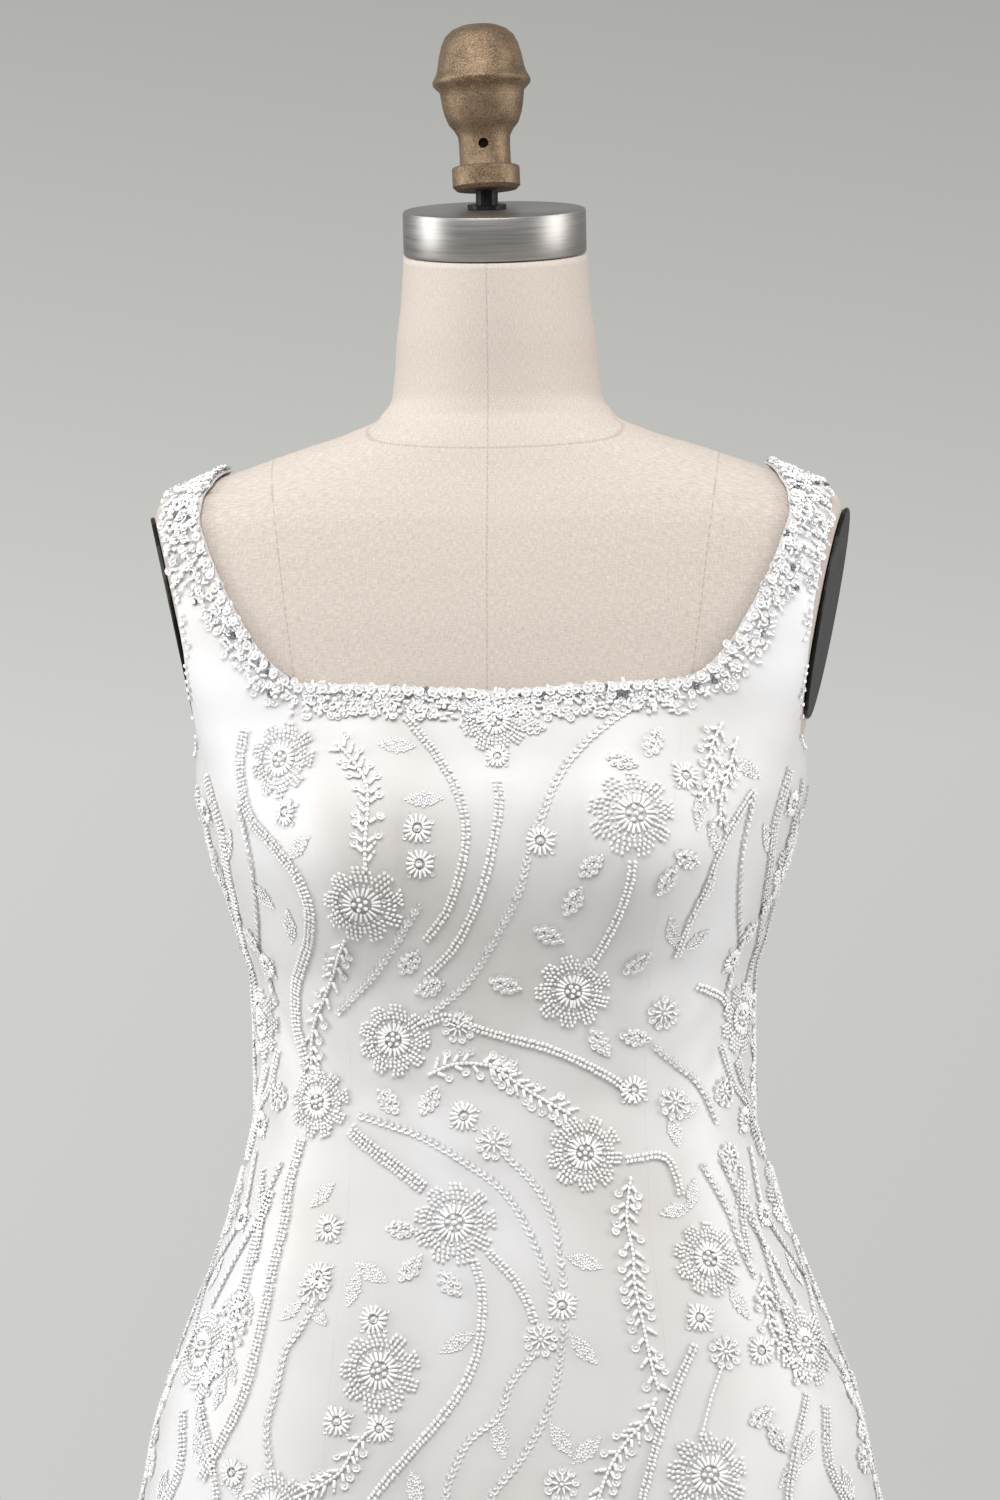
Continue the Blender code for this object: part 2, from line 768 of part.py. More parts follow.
def make_zip_slider(material, collection, cutters):
    seat = slider_seat()
    axis = pull_axis()
    body_middle = Vector((0.0, seat + SLIDER_SIZE[1] / 2.0, SLIDER_HEIGHT))
    ear_y = seat + SLIDER_SIZE[1] + EAR_SIZE[1] / 2.0 - EAR_ROOT
    ear_x = EAR_SPACING / 2.0 + EAR_SIZE[0] / 2.0
    turn = Matrix.Rotation(math.radians(90), 4, "Y")
    pieces = [
        (box_mesh("slider_body", SLIDER_SIZE), body_middle),
        (box_mesh("slider_ear", EAR_SIZE), Vector((ear_x, ear_y, axis.z))),
        (box_mesh("slider_ear", EAR_SIZE), Vector((-ear_x, ear_y, axis.z))),
        (cylinder_mesh("slider_pin", PULL_PIN_RADIUS, EAR_SPACING + EAR_SIZE[0], 12, turn), axis),
    ]
    return join_solids("zip_slider", pieces, material, collection, cutters)


def pull_outline():
    # Eye round the pin at the top, and a drop shape below it.
    drop = []
    for angle in np.radians(np.linspace(-90.0, 270.0, 25)[:-1]):
        width = PULL_HALF_WIDTH * math.cos(angle) * (0.72 - 0.28 * math.sin(angle))
        height = -PULL_LENGTH / 2.0 + PULL_LENGTH / 2.0 * math.sin(angle)
        drop.append((width, height))
    return drop


def make_zip_pull(material, collection, cutters):
    axis = pull_axis()
    outline = pull_outline()
    half = PULL_THICKNESS / 2.0
    front = [(x, -half, z) for x, z in outline]
    back = [(x, half, z) for x, z in outline]
    count = len(outline)
    faces = [tuple(range(count)), tuple(range(2 * count - 1, count - 1, -1))]
    faces += [(row, row + count, (row + 1) % count + count, (row + 1) % count) for row in range(count)]
    drop = mesh_from("pull_drop", front + back, faces)
    turn = Matrix.Rotation(math.radians(90), 4, "Y")
    eye = cylinder_mesh("pull_eye", PULL_EYE_RADIUS, PULL_EYE_WIDTH, 20, turn)
    pull = place("zip_pull", eye, material, collection, smooth=False)
    pull.location = axis
    blade = bpy.data.objects.new("pull_blade", drop)
    cutters.objects.link(blade)
    blade.location = axis - Vector((0.0, 0.0, BLADE_DROP))
    add_boolean(pull, blade, "UNION")
    hole = bpy.data.objects.new(
        "pull_hole", cylinder_mesh("pull_hole", PULL_EYE_HOLE, 4.0 * PULL_EYE_WIDTH, 16, turn)
    )
    cutters.objects.link(hole)
    hole.location = axis
    add_boolean(pull, hole, "DIFFERENCE")
    return pull


# Dress form

def form_ring(height):
    angles = np.linspace(0.0, math.tau, FORM_COLUMNS, endpoint=False)
    *_, centre = section_at(np.array([height]), FORM_SECTIONS)
    directions = np.stack([np.sin(angles), -np.cos(angles), np.zeros_like(angles)], axis=1)
    starts = np.zeros_like(directions) + np.array([0.0, float(centre[0]), height])
    ring = starts + directions * form_distance(starts, directions)[:, None]
    # The neck leans its rings forward towards the cap.
    lean = np.clip((height - NECK_TILT_START) / (NECK_TOP - NECK_TILT_START), 0.0, 1.0)
    ring[:, 2] += math.tan(NECK_TILT) * lean * (ring[:, 1] - centre[0])
    return ring


def form_heights():
    trunk = np.linspace(FORM_BOTTOM, 1.285, 21)
    shoulders = np.array([1.300, 1.308, 1.314, 1.320, 1.326, 1.332, 1.338, 1.344, 1.351, 1.360])
    neck = np.linspace(1.370, NECK_TOP - PIECE_GAP, 6)
    return np.concatenate([trunk, shoulders, neck])


def make_form_body(material, collection):
    rings = [form_ring(height) for height in form_heights()]
    points = np.concatenate(rings)
    count = FORM_COLUMNS
    faces = [tuple(reversed(range(count)))]
    for row in range(len(rings) - 1):
        low = row * count
        for cell in range(count):
            following = (cell + 1) % count
            faces.append((low + cell, low + following, low + count + following, low + count + cell))
    top = (len(rings) - 1) * count
    faces.append(tuple(range(top, top + count)))
    return place("form_body", mesh_from("form_body", points, faces), material, collection)


def plate_frame(side):
    # Axes of a plate: along its depth, up its height, and out of the form.
    normal = Vector(plate_normal(side))
    up = (Vector((0.0, 0.0, 1.0)) - normal * normal.z).normalized()
    depth = up.cross(normal)
    return Matrix((depth, up, normal)).transposed()


def make_arm_plate(name, side, material, collection):
    centre = Vector((side * PLATE_CENTRE[0], PLATE_CENTRE[1], PLATE_CENTRE[2]))
    frame = plate_frame(side)
    mesh = cylinder_mesh(name, 1.0, 1.0, 32)
    scale = Matrix.Diagonal((PLATE_HALF_DEPTH, PLATE_HALF_HEIGHT, PLATE_THICKNESS, 1.0))
    mesh.transform(scale)
    plate = place(name, mesh, material, collection)
    plate.rotation_euler = frame.to_euler()
    plate.location = centre + frame.col[2] * (PLATE_THICKNESS / 2.0 + PIECE_GAP)
    add_bevel(plate, 0.0007, 1)
    return plate


def make_neck_cap(material, collection):
    inner = CAP_RADIUS - CAP_ROUNDING
    half = CAP_THICKNESS / 2.0
    profile = [(0.0, half)]
    profile += rounded_corner(inner, half - CAP_ROUNDING, CAP_ROUNDING, 90, 0)
    profile += rounded_corner(inner, CAP_ROUNDING - half, CAP_ROUNDING, 0, -90)
    profile += [(0.0, -half)]
    cap = place("neck_cap", turned_mesh("neck_cap", profile, 36), material, collection)
    cap.location = CAP_CENTRE
    cap.rotation_euler = (NECK_TILT, 0.0, 0.0)
    return cap


def tilted_height(x, y, above):
    # Height of a point over the cap's leaning top face, measured straight up.
    centre_height = CAP_CENTRE[2] + CAP_THICKNESS / 2.0 / math.cos(NECK_TILT)
    return centre_height + math.tan(NECK_TILT) * (y - CAP_CENTRE[1]) + above / math.cos(NECK_TILT)


def make_finial_stub(material, collection):
    # A washer that lies on the leaning cap, with an upright peg on it.
    steps = 24
    levels = (
        (WASHER_RADIUS, PIECE_GAP),
        (WASHER_RADIUS, PIECE_GAP + WASHER_THICKNESS),
        (STUB_RADIUS, PIECE_GAP + WASHER_THICKNESS),
        (STUB_RADIUS, None),
    )
    points = []
    for radius, above in levels:
        for step in range(steps):
            angle = math.tau * step / steps
            x = STUB_OFFSET + radius * math.cos(angle)
            y = radius * math.sin(angle)
            points.append((x, y, STUB_TOP if above is None else tilted_height(x, y, above)))
    faces = [tuple(reversed(range(steps)))]
    for row in range(len(levels) - 1):
        for step in range(steps):
            low, following = row * steps, (step + 1) % steps
            faces.append((low + step, low + following, low + steps + following, low + steps + step))
    top = (len(levels) - 1) * steps
    faces.append(tuple(range(top, top + steps)))
    return place("finial_stub", mesh_from("finial_stub", points, faces), material, collection)


def make_finial(material, collection, cutters):
    profile = [(0.0, FINIAL_HEIGHT)]
    profile += [(row.radius, row.height) for row in reversed(FINIAL_PROFILE)]
    profile += [(0.0, 0.0)]
    finial = place("finial", turned_mesh("finial", profile, 28), material, collection)
    finial.location = (STUB_OFFSET, 0.0, STUB_TOP + 3.0 * PIECE_GAP)
    finial.rotation_euler = (0.0, FINIAL_LEAN, 0.0)
    turn = Matrix.Rotation(math.radians(90), 4, "X")
    drill = bpy.data.objects.new("pin_drill", cylinder_mesh("pin_drill", PIN_HOLE_RADIUS, 0.04, 16, turn))
    cutters.objects.link(drill)
    drill.parent = finial
    drill.location = (0.0, -0.0138 + PIN_HOLE_DEPTH - 0.02, PIN_HOLE_HEIGHT)
    add_boolean(finial, drill, "DIFFERENCE")
    return finial


# Stand

def make_socket(material, collection):
    top = FORM_BOTTOM - PIECE_GAP
    rounding = 0.002
    profile = [(0.0, top)]
    profile += rounded_corner(SOCKET_RADIUS - rounding, top - rounding, rounding, 90, 0, 3)
    low_radius, high_radius = SOCKET_NECK_RADII
    flange_foot = top - SOCKET_THICKNESS
    profile += [(SOCKET_RADIUS, flange_foot), (high_radius, flange_foot)]
    profile += [(low_radius, flange_foot - SOCKET_NECK_HEIGHT), (0.0, flange_foot - SOCKET_NECK_HEIGHT)]
    return place("form_socket", turned_mesh("form_socket", profile, 32), material, collection)


def make_pole(material, collection):
    low = BASE_HUB_HEIGHT + PIECE_GAP
    high = FORM_BOTTOM - 2.0 * PIECE_GAP - SOCKET_THICKNESS - SOCKET_NECK_HEIGHT
    pole = place("pole", cylinder_mesh("pole", POLE_RADIUS, high - low, 24), material, collection)
    pole.location = (0.0, 0.0, (low + high) / 2.0)
    return pole


def make_base(material, collection):
    edge = 0.003
    profile = [(0.0, BASE_HUB_HEIGHT), (BASE_HUB_RADIUS - 0.010, BASE_HUB_HEIGHT)]
    profile += [(BASE_HUB_RADIUS - 0.008, BASE_HUB_HEIGHT - 0.002), (BASE_HUB_RADIUS - 0.006, 0.022)]
    profile += [(BASE_HUB_RADIUS, 0.0165), (BASE_HUB_RADIUS + 0.012, 0.0140)]
    profile += rounded_corner(BASE_RADIUS - edge, BASE_EDGE_HEIGHT - edge, edge, 90, 0, 3)
    profile += [(BASE_RADIUS, 0.0), (0.0, 0.0)]
    return place("base", turned_mesh("base", profile, 40), material, collection)


def build():
    clear_scene()
    parts = make_collection("beaded_dress")
    cutters = make_collection("cutters")
    beaded_satin = make_material("beaded_satin", (0.86, 0.86, 0.85), 0.35)
    silver_beads = make_material("silver_beads", (0.78, 0.78, 0.78), 0.25)
    zip_tape = make_material("zip_tape", (0.85, 0.85, 0.84), 0.7)
    zip_metal = make_material("zip_metal", (0.82, 0.82, 0.82), 0.3, 1.0)
    linen = make_material("linen", (0.78, 0.70, 0.60), 0.9)
    brushed = make_material("brushed_aluminium", (0.70, 0.68, 0.66), 0.35, 1.0)
    black_metal = make_material("black_metal", (0.02, 0.02, 0.02), 0.4, 0.8)
    bronze = make_material("aged_bronze", (0.36, 0.26, 0.17), 0.35, 1.0)
    dark_steel = make_material("dark_steel", (0.20, 0.20, 0.19), 0.35, 1.0)
    stand_paint = make_material("stand_paint", (0.05, 0.05, 0.05), 0.5)

    make_form_body(linen, parts)
    make_arm_plate("arm_plate_left", -1, dark_steel, parts)
    make_arm_plate("arm_plate_right", 1, dark_steel, parts)
    make_neck_cap(brushed, parts)
    make_finial_stub(black_metal, parts)
    make_finial(bronze, parts, cutters)
    make_socket(stand_paint, parts)
    make_pole(stand_paint, parts)
    make_base(stand_paint, parts)

    make_front_center(beaded_satin, parts)
    make_side_front("side_front_left", -1, beaded_satin, parts)
    make_side_front("side_front_right", 1, beaded_satin, parts)
    make_back("back_left", -1, beaded_satin, parts)
    make_back("back_right", 1, beaded_satin, parts)
    make_front_trim(silver_beads, parts)
    make_back_trim("neckline_trim_back_left", -1, silver_beads, parts)
    make_back_trim("neckline_trim_back_right", 1, silver_beads, parts)

    make_zip_chain(zip_tape, parts)
    make_zip_slider(zip_metal, parts, cutters)
    make_zip_pull(zip_metal, parts, cutters)


build()
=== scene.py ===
# Beaded dress on a limbless dress form: cloth, beadwork, linen form, metal fittings and light.
# Metres, +Z up, the front towards -Y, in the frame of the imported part.
import math
from collections import namedtuple
from functools import lru_cache

import bpy
import numpy as np
from mathutils import Matrix, Vector


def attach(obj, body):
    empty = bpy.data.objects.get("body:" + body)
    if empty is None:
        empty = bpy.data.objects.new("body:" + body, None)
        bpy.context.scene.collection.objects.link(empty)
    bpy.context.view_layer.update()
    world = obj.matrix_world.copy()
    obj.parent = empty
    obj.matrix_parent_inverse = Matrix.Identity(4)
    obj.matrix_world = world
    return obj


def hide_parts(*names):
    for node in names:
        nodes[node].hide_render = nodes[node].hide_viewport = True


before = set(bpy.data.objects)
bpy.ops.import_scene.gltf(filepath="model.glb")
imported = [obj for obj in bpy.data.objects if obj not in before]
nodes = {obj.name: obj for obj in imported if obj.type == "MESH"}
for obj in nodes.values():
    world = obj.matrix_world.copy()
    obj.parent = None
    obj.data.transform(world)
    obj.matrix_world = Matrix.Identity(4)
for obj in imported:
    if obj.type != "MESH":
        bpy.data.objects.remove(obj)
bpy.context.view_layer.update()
formBodyName = "dress_on_form"

Section = namedtuple("Section", "height halfWidth front back square centre")
BustShape = namedtuple("BustShape", "height depth above below side spread bridge")

# Level sections of the form: hips, waist, bust, shoulders and neck
formSections = (
    Section(0.740, 0.166, 0.106, 0.120, 2.30, 0.000),
    Section(0.780, 0.171, 0.110, 0.126, 2.30, 0.000),
    Section(0.820, 0.172, 0.111, 0.128, 2.30, 0.000),
    Section(0.860, 0.166, 0.110, 0.122, 2.30, 0.000),
    Section(0.900, 0.155, 0.106, 0.111, 2.25, 0.000),
    Section(0.940, 0.1415, 0.100, 0.099, 2.20, 0.000),
    Section(0.975, 0.1325, 0.095, 0.091, 2.20, 0.000),
    Section(1.010, 0.1300, 0.093, 0.087, 2.20, 0.000),
    Section(1.045, 0.1310, 0.093, 0.087, 2.20, 0.000),
    Section(1.085, 0.1390, 0.096, 0.092, 2.25, 0.000),
    Section(1.125, 0.1520, 0.098, 0.100, 2.30, 0.000),
    Section(1.160, 0.1620, 0.098, 0.106, 2.35, 0.000),
    Section(1.195, 0.1720, 0.0965, 0.110, 2.40, 0.000),
    Section(1.230, 0.1820, 0.0920, 0.110, 2.45, 0.000),
    Section(1.265, 0.1890, 0.0845, 0.106, 2.45, 0.000),
    Section(1.292, 0.1905, 0.0770, 0.098, 2.45, 0.000),
    Section(1.309, 0.1850, 0.0715, 0.090, 2.35, 0.001),
    Section(1.3205, 0.1665, 0.0670, 0.082, 2.20, 0.002),
    Section(1.331, 0.1370, 0.0635, 0.075, 2.10, 0.003),
    Section(1.3415, 0.1070, 0.0610, 0.069, 2.05, 0.005),
    Section(1.351, 0.0790, 0.0590, 0.064, 2.00, 0.008),
    Section(1.360, 0.0630, 0.0570, 0.060, 2.00, 0.010),
    Section(1.373, 0.0566, 0.0548, 0.056, 2.00, 0.009),
    Section(1.400, 0.0540, 0.0525, 0.053, 2.00, 0.006),
    Section(1.420, 0.0514, 0.0510, 0.051, 2.00, 0.004),
    Section(1.446, 0.0495, 0.0495, 0.0495, 2.00, 0.0024),
)

# Level sections of the dress inside its wall; above the bust it lies on the form
dressSections = (
    Section(0.540, 0.2510, 0.180, 0.190, 2.10, 0.000),
    Section(0.600, 0.2370, 0.167, 0.178, 2.12, 0.000),
    Section(0.660, 0.2230, 0.155, 0.166, 2.15, 0.000),
    Section(0.720, 0.2090, 0.143, 0.154, 2.20, 0.000),
    Section(0.775, 0.1960, 0.133, 0.145, 2.25, 0.000),
    Section(0.816, 0.1880, 0.127, 0.139, 2.28, 0.000),
    Section(0.859, 0.1740, 0.120, 0.131, 2.28, 0.000),
    Section(0.902, 0.1575, 0.113, 0.118, 2.25, 0.000),
    Section(0.9455, 0.1425, 0.104, 0.104, 2.20, 0.000),
    Section(0.989, 0.1335, 0.098, 0.093, 2.20, 0.000),
    Section(1.010, 0.1325, 0.096, 0.090, 2.20, 0.000),
    Section(1.0535, 0.1332, 0.098, 0.090, 2.20, 0.000),
    Section(1.075, 0.1385, 0.099, 0.092, 2.25, 0.000),
    Section(1.097, 0.1450, 0.100, 0.095, 2.25, 0.000),
    Section(1.1345, 0.1570, 0.101, 0.102, 2.30, 0.000),
    Section(1.172, 0.1630, 0.099, 0.108, 2.35, 0.000),
    Section(1.210, 0.1600, 0.094, 0.108, 2.40, 0.000),
    Section(1.250, 0.1450, 0.070, 0.090, 2.40, 0.000),
    Section(1.330, 0.0900, 0.030, 0.040, 2.20, 0.000),
)

formBust = BustShape(1.122, 0.026, 0.050, 0.040, 0.078, 0.046, 0.10)
dressBust = BustShape(1.124, 0.027, 0.058, 0.052, 0.078, 0.050, 0.70)

# Sizes that the cloth and the form share with the part
shape = {
    "wall": 0.0015,
    "clothGap": 0.0014,
    "pieceGap": 0.0003,
    "hem": 0.540,
    "underarm": 1.172,
    "neckline": 1.2085,
    "corner": 1.2140,
    "armholeChestShare": 0.27,
    "fluteTop": 0.880,
    "fluteDepth": 0.0065,
    "flutesRound": 8,
    "fanHeight": 1.200,
    "farthest": 0.45,
    "plateCentre": (0.1752, 0.008, 1.250),
    "plateTilt": math.radians(11.5),
    "plateTurn": math.radians(6.0),
    "faceRounding": 0.004,
    "formFoot": 0.740,
    "neckTop": 1.446,
    "neckTilt": math.radians(11.5),
    "neckTiltStart": 1.375,
    "zipFoot": 0.905,
    "zipHalfOpening": 0.0024,
    "sideSeamWay": (0.2, 0.0146),
    "strapRowCrowding": 0.12,
    "drapeSoftness": 0.003,
}

# Princess line, the same on the front and the back: height and half width
seamHeights = (0.540, 0.660, 0.775, 0.873, 0.950, 1.010, 1.060, 1.125, 1.172, 1.214)
seamWidths = (0.128, 0.108, 0.0945, 0.0850, 0.0775, 0.0765, 0.0800, 0.0900, 0.0960, 0.1000)

# Inner and outer edges of a strap, from the neckline corner and the underarm to the shoulder
frontStrapInner = (
    (0.1000, -0.0830, 1.2140),
    (0.1130, -0.0740, 1.2270),
    (0.1220, -0.0670, 1.2430),
    (0.1315, -0.0570, 1.2650),
    (0.1380, -0.0440, 1.2910),
    (0.1415, -0.0260, 1.3160),
    (0.1420, -0.0002, 1.3290),
)
frontArmhole = (
    (0.1645, 0.0120, 1.1720),
    (0.1640, -0.0150, 1.1760),
    (0.1620, -0.0380, 1.1910),
    (0.1625, -0.0490, 1.2150),
    (0.1645, -0.0510, 1.2400),
    (0.1680, -0.0470, 1.2650),
    (0.1715, -0.0380, 1.2900),
    (0.1745, -0.0210, 1.3110),
    (0.1755, -0.0002, 1.3190),
)
backStrapInner = (
    (0.1000, 0.0940, 1.2140),
    (0.1130, 0.0860, 1.2270),
    (0.1220, 0.0800, 1.2430),
    (0.1315, 0.0690, 1.2650),
    (0.1380, 0.0540, 1.2910),
    (0.1415, 0.0310, 1.3160),
    (0.1420, 0.0002, 1.3290),
)
backArmhole = (
    (0.1645, 0.0120, 1.1720),
    (0.1640, 0.0370, 1.1760),
    (0.1620, 0.0570, 1.1910),
    (0.1610, 0.0670, 1.2150),
    (0.1630, 0.0690, 1.2400),
    (0.1670, 0.0640, 1.2650),
    (0.1710, 0.0510, 1.2900),
    (0.1745, 0.0270, 1.3110),
    (0.1755, 0.0002, 1.3190),
)


# The shapes of the form and of the cloth on it

def smoothRows(spots, known, values):
    # A cubic through the rows of a table that never overshoots between two rows.
    known = np.asarray(known)
    values = np.asarray(values)
    steps = np.diff(known)
    rises = np.diff(values) / steps
    slopes = np.zeros(len(values))
    sameWay = rises[:-1] * rises[1:] > 0
    total = np.where(sameWay, rises[:-1] + rises[1:], 1.0)
    slopes[1:-1] = np.where(sameWay, 2.0 * rises[:-1] * rises[1:] / total, 0.0)
    slopes[0] = rises[0]
    slopes[-1] = rises[-1]
    row = np.clip(np.searchsorted(known, spots) - 1, 0, len(steps) - 1)
    share = np.clip((spots - known[row]) / steps[row], 0.0, 1.0)
    left = values[row] + slopes[row] * steps[row] * share
    right = values[row + 1] - slopes[row + 1] * steps[row] * (1.0 - share)
    ease = share * share * (3.0 - 2.0 * share)
    return left * (1.0 - ease) + right * ease


def sectionAt(heights, sections):
    table = np.array(sections)
    return [smoothRows(heights, table[:, 0], table[:, column]) for column in range(1, 6)]


def bustDepth(x, z, bust):
    # Two soft mounds side by side, with the cloth bridging the dip between them.
    away = z - bust.height
    reach = np.where(away > 0, bust.above, bust.below)
    upright = np.exp(-(away / reach) ** 2)
    mounds = np.exp(-((np.abs(x) - bust.side) / bust.spread) ** 2)
    between = np.where(np.abs(x) < bust.side, np.maximum(mounds, bust.bridge), mounds)
    return bust.depth * upright * between


def isInside(points, sections, bust):
    x, y, z = points.T
    halfWidth, front, back, square, centre = sectionAt(z, sections)
    y = y - centre
    y = np.where(y < 0, np.minimum(y + bustDepth(x, z, bust), 0.0), y)
    depth = np.where(y < 0, front, back)
    return (np.abs(x) / halfWidth) ** square + (np.abs(y) / depth) ** square < 1.0


def distanceOut(starts, directions, sections, bust):
    # How far each ray goes before it leaves the shape, by halving.
    near = np.zeros(len(starts))
    far = np.full(len(starts), shape["farthest"])
    for _ in range(20):
        middle = (near + far) / 2.0
        inside = isInside(starts + directions * middle[:, None], sections, bust)
        near = np.where(inside, middle, near)
        far = np.where(inside, far, middle)
    return near


def softMin(first, second, width):
    mix = np.clip(0.5 + 0.5 * (second - first) / width, 0.0, 1.0)
    return second * (1.0 - mix) + first * mix - width * mix * (1.0 - mix)


def softMax(first, second, width):
    return -softMin(-first, -second, width)


def plateNormal(side):
    tilt = shape["plateTilt"]
    turn = shape["plateTurn"]
    return np.array([
        side * math.cos(turn) * math.cos(tilt),
        -math.sin(turn) * math.cos(tilt),
        -math.sin(tilt),
    ])


def armholeFace(starts, directions, side):
    normal = plateNormal(side)
    corner = np.array(shape["plateCentre"]) * (side, 1.0, 1.0)
    facing = directions @ normal
    ahead = facing > 0.05
    return np.where(ahead, (corner - starts) @ normal / np.where(ahead, facing, 1.0), shape["farthest"])


def formDistance(starts, directions):
    distance = distanceOut(starts, directions, formSections, formBust)
    for side in (-1, 1):
        distance = softMin(distance, armholeFace(starts, directions, side), shape["faceRounding"])
    return distance


def flutes(directions, heights):
    angle = np.arctan2(directions[:, 0], -directions[:, 1])
    top = shape["fluteTop"]
    growth = np.clip((top - heights) / (top - shape["hem"]), 0.0, 1.0) ** 1.5
    count = shape["flutesRound"]
    wave = np.cos(count * angle) + 0.4 * np.cos((count - 3) * angle)
    return shape["fluteDepth"] * growth * wave


def dressDistance(starts, directions):
    lying = formDistance(starts, directions) + shape["clothGap"]
    cut = distanceOut(starts, directions, dressSections, dressBust)
    return softMax(lying, cut + flutes(directions, starts[:, 2]), shape["drapeSoftness"])


def raysTo(points):
    starts = np.zeros_like(points)
    starts[:, 2] = np.minimum(points[:, 2], shape["fanHeight"])
    directions = points - starts
    return starts, directions / np.linalg.norm(directions, axis=1)[:, None]


def ontoDress(points):
    # The inner side of the cloth.
    starts, directions = raysTo(points)
    return starts + directions * dressDistance(starts, directions)[:, None]


def unit(vectors):
    return vectors / np.linalg.norm(vectors, axis=-1, keepdims=True)


def outwardNormals(points):
    # The cloth's own direction at each point, from close points on both sides of it.
    step = 0.0015
    _, out = raysTo(points)
    across = unit(np.cross(out, (0.0, 0.0, 1.0)))
    up = np.cross(across, out)
    beside = ontoDress(points + across * step) - ontoDress(points - across * step)
    above = ontoDress(points + up * step) - ontoDress(points - up * step)
    normals = unit(np.cross(beside, above))
    return normals * np.sign(np.sum(normals * out, axis=1))[:, None]


# Edges and grids of the panels, finer than the part's

fineRows = {"skirt": 126, "chest": 9, "strap": 34, "centre": 21, "side": 34}
cornerRow = fineRows["skirt"] + 1 + fineRows["chest"]


def smoothPath(spots, shares):
    known = np.array(spots)
    lengths = np.linalg.norm(np.diff(known, axis=0), axis=1)
    along = np.concatenate([[0.0], np.cumsum(lengths)]) / lengths.sum()
    return np.stack([smoothRows(shares, along, known[:, axis]) for axis in range(3)], axis=1)


def atWidth(x, heights, facing):
    # The points of the cloth at the given x on the front (-1) or the back (+1).
    spots = np.stack([x, np.full_like(x, facing * 0.1), heights], axis=1)
    for _ in range(6):
        spots[:, 1] = ontoDress(spots)[:, 1]
    return spots


def skirtHeights():
    return np.linspace(shape["hem"], shape["underarm"], fineRows["skirt"] + 1)


def chestShares():
    return np.linspace(0.0, 1.0, fineRows["chest"] + 1)[1:]


def strapShares():
    even = np.linspace(0.0, 1.0, fineRows["strap"] + 1)[1:]
    return even + shape["strapRowCrowding"] * np.sin(math.pi * even)


@lru_cache(maxsize=None)
def innerEdge(facing):
    # Princess line from the hem to the neckline corner, then up the inner strap edge.
    spots = frontStrapInner if facing < 0 else backStrapInner
    chest = shape["underarm"] + chestShares() * (shape["corner"] - shape["underarm"])
    heights = np.concatenate([skirtHeights(), chest])
    seam = atWidth(smoothRows(heights, seamHeights, seamWidths), heights, facing)
    return np.concatenate([seam, smoothPath(spots, strapShares())])


@lru_cache(maxsize=None)
def outerEdge(facing):
    # Side seam from the hem to the underarm, then round the armhole to the shoulder.
    heights = skirtHeights()
    x, y = shape["sideSeamWay"]
    seam = ontoDress(np.stack([np.full_like(heights, x), np.full_like(heights, y), heights], axis=1))
    chestShare = shape["armholeChestShare"]
    chest = chestShares() * chestShare
    strap = chestShare + strapShares() * (1.0 - chestShare)
    spots = frontArmhole if facing < 0 else backArmhole
    return np.concatenate([seam, smoothPath(spots, np.concatenate([chest, strap]))])


@lru_cache(maxsize=None)
def centreEdge(facing):
    chest = shape["underarm"] + chestShares() * (shape["neckline"] - shape["underarm"])
    heights = np.concatenate([skirtHeights(), chest])
    return atWidth(np.zeros(len(heights)), heights, facing)


def between(first, second, cells):
    # A grid of cloth points between two edges, as [row][cell] points.
    shares = np.linspace(0.0, 1.0, cells + 1)[None, :, None]
    chords = first[:, None, :] * (1.0 - shares) + second[:, None, :] * shares
    return ontoDress(chords.reshape(-1, 3)).reshape(*chords.shape)


def pullIn(grid, side, amount):
    edge, inner = (0, 1) if side == "first" else (-1, -2)
    way = unit(grid[:, inner] - grid[:, edge])
    moved = grid.copy()
    moved[:, edge] = grid[:, edge] + way * np.reshape(amount, (-1, 1))
    return moved


@lru_cache(maxsize=None)
def centreGrid(facing):
    return between(centreEdge(facing), innerEdge(facing)[:cornerRow], fineRows["centre"])


@lru_cache(maxsize=None)
def sideGrid(facing):
    return between(innerEdge(facing), outerEdge(facing), fineRows["side"])


# Creases of the cloth: lines from one spot to another, in degrees round and in height

Crease = namedtuple("Crease", "turn height toTurn toHeight bend halfWidth depth")

